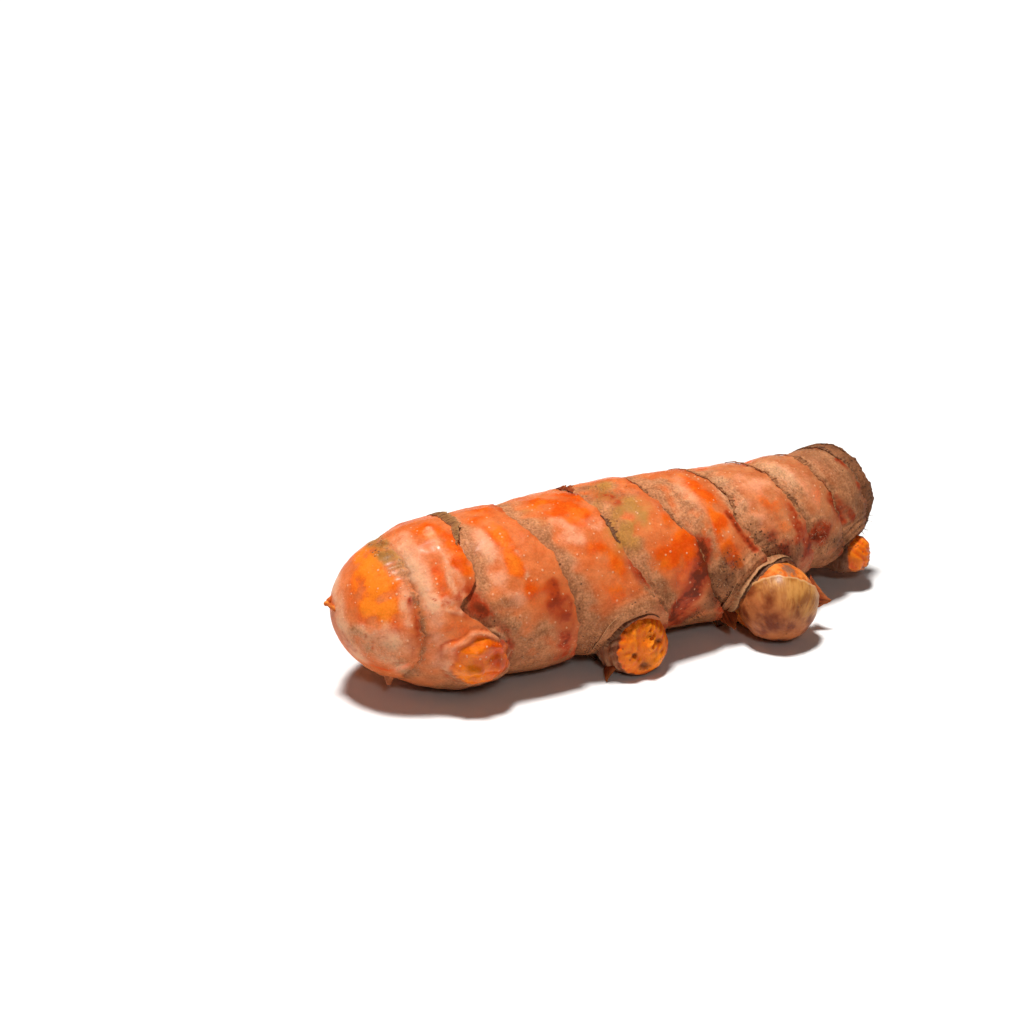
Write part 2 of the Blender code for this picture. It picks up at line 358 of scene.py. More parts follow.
PAINTS = {
    "bare": (
        ((5.6, -8, 5.3, 22, 4.9, 45, 5.4, 68), 3.2, 1.15), ((7.4, 44, 7.3, 74), 1.9, 0.9),
        ((13.6, 3, 15.4, 18, 16.0, 34), 1.9, 1.0), ((13.2, 34, 13.1, 50, 13.5, 63), 1.0, 0.8),
        ((16.7, 28, 16.9, 44), 1.1, 0.8), ((13.6, 80, 15.6, 88), 1.7, 0.5),
        ((13.9, 92, 13.4, 100, 14.2, 110), 0.9, 0.75), ((23.2, 16, 23.8, 32, 23.8, 50), 1.5, 1.1),
        ((21.5, 2, 24.0, -8), 1.8, 0.6), ((25.5, 64, 26.6, 72, 28.4, 68), 1.7, 0.6),
        ((32.8, -6, 34.5, 8, 36.2, 13, 36.6, 21), 2.3, 1.1), ((37.0, -8, 38.2, 6), 1.5, 0.8),
        ((36.9, 50, 38.6, 58, 39.4, 66), 2.0, 0.7), ((37.6, 74, 38.6, 82), 1.8, 0.6),
        ((47.8, 66, 50.8, 58, 52.2, 68, 50.6, 80), 2.3, 1.15), ((49.2, 40, 50.8, 50), 1.3, 0.6),
        ((56.8, 4, 58.1, 20, 58.6, 40, 58.2, 55, 58.2, 70, 59.8, 80), 1.5, 0.95),
        ((68.2, 40, 69.6, 52, 69.6, 64), 2.2, 0.42), ((77.2, 46, 77.2, 60), 1.5, 0.3),
        ((4.6, 134, 6.6, 128, 8.6, 112), 0.5, 0.8),
    ),
    "gold": (
        ((17.0, 98, 16.6, 106), 1.6, 0.7), ((5.6, -8, 5.4, 22, 4.9, 45, 5.4, 60), 2.9, 0.95),
        ((13.6, 3, 15.4, 18), 1.2, 0.3), ((23.2, 16, 23.8, 32, 23.8, 50), 1.2, 0.4),
        ((32.8, -6, 36.2, 13), 1.5, 0.2),
    ),
    "blush": (
        ((8.6, 50, 8.4, 64), 1.2, 0.9), ((7.2, 84, 6.2, 98), 1.8, 0.5),
        ((10.0, 2, 10.8, 26, 11.2, 50, 12.0, 72), 1.7, 1.0), ((11.6, 90, 12.6, 106), 2.0, 0.6),
        ((20.6, 20, 21.2, 36, 21.2, 52), 1.6, 0.9), ((22.4, 60, 23.0, 70), 1.5, 0.6),
        ((32.8, 24, 34.2, 38), 1.8, 0.8), ((36.8, 25, 38.4, 32), 1.3, 0.9),
        ((31.8, 50, 33.0, 64), 1.3, 0.6), ((47.6, 12, 48.4, 24, 49.4, 33), 1.5, 0.2),
        ((54.0, 14, 56.0, 34), 1.4, 0.5), ((66.6, 20, 69.0, 32), 2.0, 0.8),
        ((64.8, 44, 66.4, 60), 1.6, 0.6), ((74.8, 20, 76.0, 36, 76.4, 52), 2.0, 0.45),
        ((80.6, 10, 82.4, 30), 1.4, 0.4),
    ),
    "pale": (
        ((8.9, 6, 9.3, 16, 10.2, 34, 11.0, 48, 11.6, 62), 1.4, 0.72),
        ((9.6, 38, 10.6, 46, 10.8, 54), 0.8, 0.95),
        ((1.0, -20, 0.9, 30, 1.1, 80, 2.0, 108, 3.2, 132), 1.6, 0.7),
        # The first stroke below, on the dome's right flank, is a painted highlight where the glints fall.
        ((8.6, 46, 8.2, 62, 8.4, 76), 0.9, 0.5), ((3.7, 95, 5.8, 88, 7.4, 96), 2.4, 0.6),
        ((5.6, 108, 7.2, 116, 8.0, 122), 1.8, 0.55), ((63.0, 8, 62.4, 24, 62.8, 38), 1.6, 0.6),
        ((73.0, 2, 73.3, 14, 73.8, 28), 1.7, 0.8), ((56.4, 2, 55.6, 14, 55.8, 26), 1.2, 0.5),
        ((13.4, 61, 14.3, 65, 15.1, 70), 0.7, 0.7), ((13.9, 8, 14.3, 22, 14.9, 30), 1.0, 0.5),
        ((15.0, 42, 15.8, 50, 15.6, 58), 0.8, 0.5), ((20.4, 24, 20.9, 40), 1.2, 0.4),
    ),
    "dry": (
        ((7.6, -34, 7.7, 0, 8.0, 20, 8.7, 36), 1.2, 1.0),
        ((8.9, 36, 10.1, 66, 10.3, 92, 9.7, 114), 0.6, 0.8), ((3.0, 98, 5.6, 104, 7.2, 110), 2.6, 0.6),
        ((20.4, 78, 22.5, 92, 25.0, 112), 3.0, 0.9), ((26.8, 96, 28.0, 122), 2.6, 0.8),
        ((34.0, 104, 36.0, 116, 33.0, 122), 3.0, 0.9),
        ((42.5, 62, 43.5, 73, 44.8, 86, 47.0, 98), 2.4, 0.9), ((42.0, -12, 44.0, 0, 45.4, 12), 2.4, 0.8),
        ((52.5, 6, 54.0, 34, 55.4, 60, 56.6, 80, 58.4, 102), 2.2, 0.95),
        ((62.6, 0, 62.8, 30, 63.0, 54), 1.9, 1.0), ((65.4, 82, 68.0, 92, 70.0, 104), 2.6, 0.9),
        ((72.4, 0, 73.2, 26, 74.2, 50), 1.5, 0.9), ((75.4, 80, 77.6, 96), 3.0, 0.9),
    ),
    "ochre": (
        ((41.6, 46, 43.4, 36, 45.2, 27), 2.9, 1.0), ((7.0, -24, 7.4, 8, 8.2, 26), 1.5, 1.0),
        ((42.2, 14, 43.6, -6), 2.2, 0.75), ((30.2, 2, 31.0, 20), 1.2, 0.3),
    ),
    # Red-brown stains. In rhizome_skin the same paint also takes the painted shade at the ends of the bands.
    "stain": (
        ((16.6, 54, 17.2, 66, 18.6, 78), 1.5, 0.62), ((19.8, 83, 21.2, 92, 22.0, 104), 0.8, 0.7),
        ((28.4, 66, 29.6, 78, 30.3, 92, 30.0, 110), 1.5, 0.62), ((29.8, 68, 30.8, 80, 31.0, 96), 0.7, 0.6),
        ((41.4, 60, 42.9, 76, 44.8, 92), 0.45, 0.7),
        ((54.4, 64, 54.0, 72, 53.2, 80, 51.8, 91, 50.2, 103, 49.0, 118), 2.0, 1.15),
        ((52.6, 48, 53.0, 54), 0.6, 0.8), ((50.6, 128, 52.2, 112), 1.6, 0.8),
        ((53.6, 74, 52.6, 86, 51.4, 98), 1.0, 0.7), ((42.0, -12, 42.8, 4, 45.0, 10), 1.8, 0.3),
        ((14.2, 70, 14.8, 66, 15.6, 56), 1.0, 0.42), ((13.4, 62, 14.8, 61, 15.8, 56), 0.9, 0.5),
        ((41.2, 4, 42.7, 9, 43.6, 16), 1.4, 0.5), ((47.6, 14, 48.7, 23, 49.6, 30), 1.3, 0.28),
        ((66.6, 68, 67.6, 76, 69.0, 84), 1.5, 0.5), ((81.0, 70, 82.0, 78), 1.2, 0.5),
        ((7.4, -20, 8.0, 10, 8.6, 26), 0.8, 0.22), ((73.0, 92, 75.0, 88, 76.8, 86), 2.2, 0.75),
        ((80.8, 60, 82.0, 74, 83.2, 88), 0.9, 0.5), ((68.6, 80, 70.4, 82, 72.0, 78), 1.0, 0.7),
        ((17.6, 62, 16.8, 67, 16.2, 71), 1.5, 0.55),
        ((27.8, 78, 29.4, 88, 30.4, 108, 30.4, 124), 1.8, 0.5),
        ((10.0, 46, 10.8, 54, 12.2, 60), 0.28, 0.5), ((9.4, 56, 10.8, 62, 11.4, 72), 0.26, 0.45),
        ((11.2, 44, 11.4, 52), 0.24, 0.4), ((9.2, 58, 9.6, 74, 9.8, 92), 0.8, 0.6),
        ((1.2, 104, 3.4, 122, 6.6, 128), 0.5, 0.3), ((53.6, 56, 54.4, 70), 0.4, 0.8),
        ((60.4, 44, 61.0, 60, 62.8, 74, 64.6, 84), 0.7, 1.0),
        ((71.0, 52, 71.8, 68, 72.4, 80, 73.0, 92, 72.4, 106), 1.1, 0.7), ((79.2, 30, 80.0, 58), 0.5, 0.8),
        ((79.2, 56, 80.2, 70, 81.4, 84), 1.1, 0.9), ((85.0, 26, 85.4, 60), 0.8, 0.7),
        ((1.6, 116, 4.4, 132, 7.4, 124), 0.8, 0.25), ((8.6, 86, 9.0, 104), 0.6, 0.5),
    ),
}
DIRT = (
    ((65.4, 68, 66.6, 76, 68.2, 83, 71.0, 90), 1.7, 1.0), ((58.0, 76, 59.0, 86, 58.4, 98), 1.9, 0.85),
    ((53.2, 127, 54.2, 115, 55.2, 104, 56.4, 92), 1.9, 1.0), ((79.6, 104, 82.4, 128), 1.9, 0.9),
    ((81.6, 112, 82.6, 118, 83.2, 128), 1.2, 1.1), ((35.0, 118, 37.0, 125), 1.5, 0.45),
    ((62.4, 96, 63.4, 110), 1.2, 0.6),
)
# Dirt without hairs.
SMUDGE = (((6.6, -16, 7.2, 8, 8.2, 24), 1.4, 0.42),)
# Creases and ridges: points, half width, height, how pale the skin is on them.
CREASES = (
    ((14.2, 4, 14.4, 20, 14.7, 34, 14.4, 48, 15.1, 62), 0.7, 0.24, 0.6),
    ((10.0, 50, 10.9, 55, 12.0, 58), 0.22, -0.14, 0.0), ((11.2, 49, 12.3, 54), 0.2, -0.12, 0.0),
    ((9.6, 57, 10.6, 62), 0.2, -0.1, 0.0), ((10.4, 44, 11.6, 47), 0.18, -0.1, 0.0),
    ((11.0, 60, 12.4, 66, 13.0, 74), 0.2, -0.1, 0.0), ((9.8, 40, 10.6, 43), 0.16, -0.08, 0.0),
    ((8.0, 58, 7.4, 64, 7.6, 72), 0.22, -0.08, 0.0), ((6.8, 88, 5.4, 94, 4.6, 104), 0.3, 0.07, 0.3),
    ((4.0, 84, 3.0, 96, 3.2, 112), 0.3, 0.06, 0.3), ((35.0, 30, 35.8, 44, 36.8, 56), 0.4, 0.07, 0.2),
    ((20.2, 30, 20.0, 48, 20.8, 64), 0.35, 0.07, 0.2), ((56.2, 24, 56.8, 42, 57.0, 58), 0.35, 0.08, 0.1),
    ((40.2, 78, 41.6, 84, 42.4, 92), 0.3, 0.2, 0.3), ((39.0, 84, 40.4, 90, 41.2, 98), 0.22, -0.16, 0.0),
    ((43.6, 82, 43.4, 90, 42.8, 98), 0.22, -0.14, 0.0), ((24.5, 32, 24.9, 44, 25.2, 56), 0.3, 0.12, 0.8),
    ((12.8, 61, 13.4, 68, 15.0, 71), 0.4, 0.15, 0.7), ((62.6, 82, 63.0, 90, 61.6, 98), 0.3, -0.2, 0.0),
    ((21.8, 58, 22.6, 66, 22.0, 74), 0.35, -0.08, 0.2), ((26.4, 52, 27.2, 60, 27.0, 68), 0.4, -0.1, 0.1),
    ((74.6, 96, 76.2, 104), 0.4, -0.2, 0.0),
)

# Bud scars on the skin: distance, degrees, half length, half width, height of the mound, and the place
# of its pit.
SCARS = (
    (17.3, 106, 4.6, 4.3, 1.0, (15.8, 114)),
    (24.4, 262, 4.0, 3.8, 0.7, (24.6, 264)),
    (47.8, 262, 3.7, 3.5, 0.7, (47.4, 260)),
    (68.4, 264, 2.8, 2.8, 0.5, (68.4, 266)),
)
# Welts of the skin round the buds: bud, radius, height, width, and the angle of its highest part.
WELTS = ((STUB, 6.6, 0.75, 1.2, 20), (BALL, 8.1, 0.55, 1.3, 40), (SMALL, 4.4, 0.5, 1.0, 30))
# A stroke is full out to a share of its half width and gone at another. Paints are spread a little.
STROKE_SPREAD = 1.15
STROKE_SOFT = 0.15
STROKE_END = 1.35
# The angle, in radians, beyond which the end of a band has no painted shade.
BAND_END_SHADE_TO = 2.3


def stroke(places, points, half_width):
    """How near each place is to a line of skin points: 1 on it, 0 beyond its half width."""
    line = skin_spot(*np.reshape(points, (-1, 2)).T)
    nearest = np.full(places.shape[:-1], np.inf)
    for start, end in zip(line[:-1], line[1:]):
        span = end - start
        share = np.clip(((places - start) @ span) / (span @ span), 0, 1)
        nearest = np.minimum(nearest, np.linalg.norm(places - start - share[..., None] * span, axis=-1))
    return 1 - step_up(nearest / half_width, STROKE_SOFT, STROKE_END)


def painted(places, strokes, wander):
    """All strokes of one paint, their edges pushed in and out by a wander."""
    total = np.zeros(places.shape[:-1])
    for points, half_width, amount in strokes:
        total = np.maximum(total, amount * stroke(places, points, half_width * STROKE_SPREAD))
    return np.clip(total * (1 + 0.45 * wander), 0, 1.2)


def skin_rows():
    """The grid of the skin: for each row its band, its share of the band, the lip's part in it,
    its drop under the lip, its share of the rim's radius and its depth behind the rim."""
    last = len(RINGS) - 1
    rows = [(0, 1 - math.cos(math.pi / 2 * step / TIP_ROWS), 0, 0, 1, 0) for step in range(1, TIP_ROWS + 1)]
    for band in range(1, last + 1):
        for step in np.linspace(0, 1, BAND_ROWS):
            rows.append((band, step - 0.11 * math.sin(2 * math.pi * step), 0, 0, 1, 0))
        if band < last:
            rows.extend((band, 1, lip, drop, 1, 0) for lip, drop in LIP_ROWS)
    for share in np.linspace(0.965, 0.03, END_ROWS):
        rows.append((last, 1, 0, 0, share, np.interp(-share, -np.array(END_SHARES), END_DEPTHS)))
    return np.array(rows)


def rise_over_band(share):
    """The skin's rise across a band: low at its start, full towards its end, a little down at its lip."""
    share = np.clip(share, 0, 1)
    return -0.68 + 1.2 * (1 - (1 - share) ** 2.6) - 0.12 * share**9


def scars(places, distance, around):
    """Broken buds: a mound with a rough top inside a low rim, and a small pit. Gives the rise, the
    bare face, the pit, the pale rim and the stained lines beside it."""
    rise, face, pits, ring, line = (np.zeros_like(distance) for _ in range(5))
    rough = mottle(places, 1.3, 51)
    lobes = mottle(places, 3.0, 52)
    for at, degrees, half_long, half_round, height, pit_at in SCARS:
        across = turn_between(around, np.radians(degrees)) * root_radius(np.float64(at))
        away = np.hypot((distance - at) / half_long, across / half_round) * (1 + 0.05 * lobes)
        inside = 1 - step_up(away, 0.76, 0.88)
        pit = np.linalg.norm(places - skin_spot(*pit_at), axis=-1)
        rise = rise + height * (1 - step_up(away, 0.6, 1.2)) + inside * (0.14 * rough + 0.2 * lobes)
        rise = rise + 0.17 * bell(away - 0.96, 0.09) - 0.30 * bell(away - 0.82, 0.06)
        rise = rise - 0.12 * bell(away - 1.12, 0.07) - 0.8 * (1 - step_up(pit, 0.15, 0.75)) * inside
        face = np.maximum(face, inside)
        pits = np.maximum(pits, (1 - step_up(pit, 0.15, 0.6)) * inside)
        ring = np.maximum(ring, bell(away - 0.97, 0.08))
        line = np.maximum(line, np.maximum(0.8 * bell(away - 1.12, 0.06), 0.6 * bell(away - 0.86, 0.05)))
    return rise, face, pits, ring, line


def bud_frame(at, lean, rise):
    """The middle of a bud, the way it points, the way round to its side and its upward way."""
    distance, out, height = at
    point, along, front = axis_place(distance)
    middle = point + front * out
    middle[2] = height
    lean, rise = math.radians(lean), math.radians(rise)
    outward = (math.cos(lean) * front + math.sin(lean) * along) * math.cos(rise)
    outward = outward + np.array((0, 0, math.sin(rise)))
    side = unit(np.cross(outward, (0, 0, 1)))
    return middle, outward, side, np.cross(side, outward)


def bud_welts(places):
    """A low welt on the skin round each bud, with finer rings outside it, highest on one side.
    Gives the rise, the dry skin on it and the dirt in its rings."""
    rise, tan, dirt = (np.zeros(places.shape[:-1]) for _ in range(3))
    for spot, radius, height, width, highest in WELTS:
        middle, outward, side, upward = bud_frame(*spot)
        offset = places - middle
        across, upright = offset @ side, offset @ upward
        turn = np.arctan2(across, upright)
        past = np.hypot(across, upright) * (1 + 0.03 * np.sin(5 * turn)) - radius
        part = 0.35 + 0.65 * (0.5 + 0.5 * np.cos(turn_between(turn, math.radians(highest))))
        part = part * step_up(offset @ outward, -9.0, -5.0)
        rings = np.cos(FULL_TURN * past / 0.95) * np.exp(-np.abs(past - 0.8) / 1.3)
        rise = rise + part * (height * bell(past, width) + 0.13 * rings)
        tan = np.maximum(tan, part * bell(past, 1.7 * width) * 1.1)
        dirt = np.maximum(dirt, part * np.clip(-rings, 0, 1) * 0.55)
    return rise, tan, dirt


def rhizome_skin():
    """The skin, its relief and its paints.

    Each row is a share of the way between two rings. The relief adds the band's swell, a lip that
    overhangs the next band, slow and fine noise, ridges along each ring, creases and scars.
    """
    angle = np.linspace(0, FULL_TURN, COLUMNS, endpoint=False)
    rows = skin_rows()
    band = rows[:, 0].astype(int)
    share, lip, drop, face, depth = (rows[:, k, None] for k in range(1, 6))
    lines = np.stack([np.zeros(COLUMNS)] + [ring_line(ring, angle) for ring in range(len(RINGS))])
    around = np.broadcast_to(angle, (len(rows), COLUMNS))
    start, end = lines[band], lines[band + 1]
    band = band[:, None]
    ring_places = skin_place(end, around)
    back_part = np.clip(-np.sin(around), 0, 1)
    overhang = (0.03 + 0.22 * np.clip(mottle(ring_places, 7.0, 5), 0, 1.4)) * (1 - 0.6 * back_part)
    distance = start + (end - start) * share + lip * overhang
    inward = face**5 * distance + (1 - face**5) * LENGTH - depth
    inward = inward + 0.22 * (1 - face**3) * mottle(skin_place(end, around, 0.0, face), 1.8, 7)
    distance = np.where(face < 1, inward, distance)

    past = distance - start
    in_band = np.clip(share, 0, 1) * np.ones_like(distance)
    firm = 0.95 - 0.42 * back_part - 0.22 * np.clip(np.cos(around), 0, 1)
    firm = np.clip(firm + (0.12 + 0.14 * back_part) * mottle(ring_places, 11.0, 8), 0.35, 1.2)
    rise = np.where(band == 0, -0.42 * in_band**7, firm * rise_over_band(in_band)) - firm * drop
    base = skin_place(distance, around, 0.0, face)
    slow, middle, fine = (mottle(base, size, seed) for size, seed in ((6.5, 11), (2.6, 12), (1.1, 13)))
    rise = rise + 0.07 * slow + 0.035 * middle + 0.018 * fine * (1 - lip * 0.5)
    ridges = np.sin(FULL_TURN * past / 0.95 + 1.2 * slow)
    rise = rise + 0.05 * ridges * np.exp(-past / 1.6) * (band > 0)
    before = skin_place(distance, around, rise, face)
    crease_pale = np.zeros_like(distance)
    for points, half_width, height, paleness in CREASES:
        mask = stroke(before, points, half_width)
        rise = rise + height * mask
        crease_pale = np.maximum(crease_pale, paleness * mask)
    scar, scar_face, scar_pit, scar_ring, scar_line = scars(before, distance, around)
    welt, welt_tan, welt_dirt = bud_welts(before)
    places = skin_place(distance, around, rise + scar + welt, face)
    piece = closed_piece("rhizome_skin", places)

    wander = 0.6 * mottle(base, 3.4, 21) + 0.4 * middle + 0.3 * fine
    weights = {"pale": 0.6, "stain": 0.5}
    coat = {name: painted(places, strokes, weights.get(name, 1) * wander) for name, strokes in PAINTS.items()}
    coat["dirt"] = painted(places, DIRT + SMUDGE, middle)

    def lay(name, values):
        """Lays more of one paint where it is stronger than what is there."""
        coat[name] = np.maximum(coat[name], values)

    # The underside and the back. The underside is painted dry tan, which the shader darkens towards the
    # bottom, partly as painted shade.
    bent = around + 0.09 * slow + 0.04 * middle
    low = turn_step(bent, 96, 124) * (1 - turn_step(bent, 256, 300))
    inner = step_up(distance + 1.5 * slow + 0.8 * middle, 7.5, 13.5)
    lay("pale", crease_pale)
    lay("dry", 0.75 * low * inner + 0.25 * low)
    opening = (0.25 + 0.05 * slow + 0.03 * middle) * np.clip(end - start, 3, None)
    lay("dry", (1 - step_up(past, opening * 0.4, opening * 1.6)) * (band > 1))
    lay("dry", 0.8 * step_up(distance, 77, 84))
    low = np.maximum(low, 0.75 * step_up(distance + 0.6 * slow, 83.5, 86.5))
    in_back = turn_step(bent, 190, 240) * (1 - turn_step(bent, 325, 357))
    moist_back = in_back * (1 - coat["dry"]) * 0.8
    lay("bare", moist_back * step_up(mottle(base, 6.0, 31) + 1.2 * in_band, 0.9, 1.6))
    lay("blush", moist_back * step_up(mottle(base, 5.0, 32), 0.1, 0.9))
    # Painted shade at the end of each band on its lower side, laid with the red-brown stains.
    lay("stain", 0.5 * step_up(in_band, 0.8, 1.0) * turn_step(around, 100, 125) * (1 - in_back) * (band > 1))
    lay("dry", welt_tan)
    lay("dirt", welt_dirt)

    # The broken end.
    end_face = step_up(-face * np.ones_like(distance), -0.97, -0.9)
    for name in ("bare", "blush", "stain"):
        coat[name] = coat[name] * (1 - end_face)
    low = low * (1 - end_face)
    lay("bare", 0.5 * end_face * step_up(mottle(base, 3.0, 44), 0.2, 1.4) * (1 - step_up(face, 0.45, 0.62)))
    lay("stain", 0.35 * end_face * bell(face - 0.62 - 0.02 * middle, 0.05))

    # Rings, scars and stains.
    # Painted shade in the fold just past each ring, under its lip, stronger towards the front, together with
    # the ring's own thin brown line.
    crease = np.exp(-np.clip(past - 0.25, 0, None) / 0.45) * (band > 0) * (lip < 0.5)
    crease = crease * (0.55 + 0.45 * step_up(np.sin(around), 0.1, 0.7))
    crease = crease * np.clip(0.65 + 0.35 * mottle(ring_places, 8.0, 6), 0.1, 1)
    edge = lip * step_up(mottle(base, 2.2, 41), -0.6, 0.8)
    coat["bare"] = np.maximum(coat["bare"] * (1 - scar_pit), scar_face * 1.1)
    coat["dry"] = coat["dry"] * (1 - scar_face) * (1 - 0.8 * coat["bare"])
    veined = turn_step(around, 70, 86) * (1 - turn_step(around, 130, 150)) * (1 - step_up(distance, 7.5, 9.0))
    lay("stain", 0.42 * veined * bell(mottle(base, 4.0, 42), 0.16))
    # Painted shade at the end of each band on its upper front, where the band curves down into the next ring,
    # laid with the red-brown stains.
    band_end_shade = step_up(in_band, 0.78, 0.98) * (band > 1) * turn_step(around, 30, 75)
    band_end_shade = band_end_shade * (around < BAND_END_SHADE_TO)
    lay("stain", (0.3 + 0.15 * mottle(ring_places, 6.0, 43)) * band_end_shade * (1 - in_back))
    coat["stain"] = coat["stain"] * (1 - scar_face)
    lay("stain", 0.6 * scar_line)
    lay("pale", 0.5 * scar_ring)
    lay("bare", 0.4 * scar_ring)
    lay("stain", 0.8 * scar_pit)
    lay("dirt", 0.75 * step_up(distance + 0.4 * middle, 86.2, 87.8) * (1 - end_face))
    lay("dry", 0.85 * end_face)
    coat.update(
        stain=np.clip(coat["stain"], 0, 1),
        dirt=np.clip(coat["dirt"], 0, 1),
        crease=np.clip(crease, 0, 1) * (1 - scar_face),
        edge=edge * (1 - scar_face),
        flesh=np.clip(scar_face, 0, 1),
        far=step_up(distance, 48, 78),
        worn=step_up(distance + 0.8 * slow, 74, 87),
        low=low * (0.6 + 0.4 * inner),
    )
    for name, values in coat.items():
        paint(piece, name, values)
    radius = root_radius(distance) * face
    unrolled = np.stack((distance, radius * np.cos(around), radius * np.sin(around)), -1)
    paint(piece, "unrolled", unrolled * MM, "FLOAT_VECTOR")
    return piece


# Buds


def smooth_profile(points, count):
    """Heights and radii at even steps along a profile, rounded between its points."""
    points = np.array(points, float)
    reach = np.concatenate(((0,), np.cumsum(np.hypot(*np.diff(points, axis=0).T))))
    even = np.linspace(0, reach[-1], count)
    fine = np.stack([np.interp(even, reach, points[:, k]) for k in (0, 1)], -1)
    for _ in range(2):
        fine[1:-1] = (fine[:-2] + 2 * fine[1:-1] + fine[2:]) / 4
    return fine[:, 0], fine[:, 1]


def turned_bud(name, spot, profile, rows, columns, shape):
    """A turned knob: each point lies out from the bud's axis by its radius, both bent by a shape
    function of height, radius and angle. The angle runs from the top round to the side."""
    middle, outward, side, upward = bud_frame(*spot)
    heights, radii = smooth_profile(profile, rows)
    height, radius = (values[:, None] * np.ones(columns) for values in (heights, radii))
    around = np.broadcast_to(np.linspace(0, FULL_TURN, columns, endpoint=False), height.shape)
    height, radius, paints = shape(height, radius, around)
    places = middle + height[..., None] * outward + radius[..., None] * round_turn(around, upward, side)
    places[..., 2] = np.maximum(places[..., 2], 0.0)
    piece = closed_piece(name, places)
    for key, values in paints.items():
        paint(piece, key, values)
    return piece


def cut_stub():
    """A short broken knob: dark skin round its side, a rough orange face with ridges, lobes and pits."""

    def shape(height, radius, around):
        across, upright = radius * np.sin(around), radius * np.cos(around)

        def spot(right, up, wide, high):
            return np.exp(-(((across - right) / wide) ** 2 + ((upright - up) / high) ** 2))

        lobes = 0.30 * np.sin(2 * around + 0.6) + 0.16 * np.sin(3 * around + 2.0)
        bark = face_noise(around, height, 1.4, 61, 4.5)
        rough, coarse = face_noise(across, upright, 1.1, 62), face_noise(across, upright, 3.2, 63)
        face = step_up(height, 0.1, 0.7)
        ridge = bell(across + 0.4 + 0.15 * upright + 0.3 * rough, 0.5) * step_up(upright, -2.0, 0.5)
        ridge = ridge + bell(across - 1.9 + 0.2 * coarse, 0.4) * step_up(upright, -0.5, 1.0) * 0.7
        lobe = spot(-1.7, -2.2, 1.3, 1.2)
        pit = spot(-2.6, 0.6, 0.6, 0.45) + spot(0.2, -2.7, 0.9, 0.6) + 0.8 * spot(1.9, -0.6, 0.5, 0.4)
        flank = step_up(height + 0.5 + 3.4 * np.clip(np.cos(around + 0.6), 0, 1), 0.1, 1.0)
        inner = 1 - step_up(np.hypot(across, upright), 2.8, 4.4)
        lift = 0.42 * ridge + (0.02 + 0.03 * inner) * rough + 0.15 * coarse * inner + 0.6 * lobe - 0.6 * pit
        radius = radius * (1 + 0.65 * lobes / 4.5) + 0.08 * bark * (1 - face)
        return height + face * lift, radius, {
            "flesh": flank * (1 - 0.2 * np.clip(coarse, 0, 1)),
            "streak": np.clip(0.15 + 0.35 * face + 0.5 * ridge + 0.8 * lobe + 0.2 * rough, 0, 1),
            "pit": np.clip(pit * 1.2, 0, 1) * face,
            "tan": np.clip(0.4 + 0.4 * bark, 0, 1),
        }

    profile = (
        (-9.0, 4.2), (-4.5, 5.5), (-3.0, 5.7), (-2.5, 5.2), (-1.2, 4.9),
        (-0.5, 4.8), (0.1, 4.4), (0.6, 3.75), (0.95, 2.6), (1.1, 0.3),
    )
    return turned_bud("cut_stub", STUB, profile, 84, 128, shape)


def round_bud():
    """A closed bud: a near sphere of orange skin, its front under a brown scale."""

    def shape(height, radius, around):
        rough, coarse = face_noise(around, height, 1.3, 71, 6.0), face_noise(around, height, 4.5, 72, 6.0)
        top = bell(turn_between(around, 0.0), 0.45) * step_up(height, -3.5, -0.5)
        return BALL_SHARE * height, BALL_SHARE * radius * (1 + 0.006 * coarse) + 0.015 * rough, {
            "flesh": np.clip(0.9 + 0.25 * coarse - 0.3 * top * (1 + 0.5 * rough), 0, 1),
            "streak": np.clip(0.35 + 0.3 * rough + 0.3 * coarse, 0, 1),
            "pit": np.zeros_like(height),
            "tan": np.clip(top, 0, 1),
        }

    profile = (
        (-11.0, 4.6), (-6.5, 6.2), (-4.4, 6.4), (-3.4, 5.9), (-1.8, 6.05), (0.2, 6.15),
        (2.3, 5.75), (4.0, 4.75), (5.2, 3.4), (5.9, 1.7), (6.05, 0.2),
    )
    return turned_bud("round_bud", BALL, profile, 90, 128, shape)


def small_stub():
    """The least bud: a wedge of orange flesh in brown skin."""

    def shape(height, radius, around):
        rough = face_noise(radius * np.sin(around), radius * np.cos(around) + height, 1.2, 81)
        face = step_up(height + 0.5 * np.cos(around + 0.4) + 0.2 * rough, -1.7, -0.9)
        low = step_up(-np.cos(around), 0.35, 0.9)
        left = step_up(np.sin(around), 0.2, 0.8) * (1 - step_up(height, -1.5, -0.7))
        root = 1 - step_up(height + 0.2 * rough, -2.0, -1.3)
        wedge = 1 - 0.18 * np.abs(np.sin(around)) * step_up(height, -1.0, 2.0)
        return height + 0.08 * rough * face, radius * wedge + 0.05 * rough, {
            "flesh": np.clip(face * (1 - 0.6 * low) * (1 - left), 0, 1),
            "streak": 0.35 + 0.3 * rough,
            "pit": np.clip(0.2 * low + 0.8 * left + 0.7 * root, 0, 1),
            "tan": 0.5 + 0.3 * rough,
        }

    profile = (
        (-7.0, 1.8), (-2.8, 3.1), (-1.8, 3.2), (-1.4, 2.95),
        (0.4, 2.95), (1.3, 2.6), (2.0, 1.8), (2.25, 0.2),
    )
    return turned_bud("small_stub", SMALL, profile, 60, 96, shape)


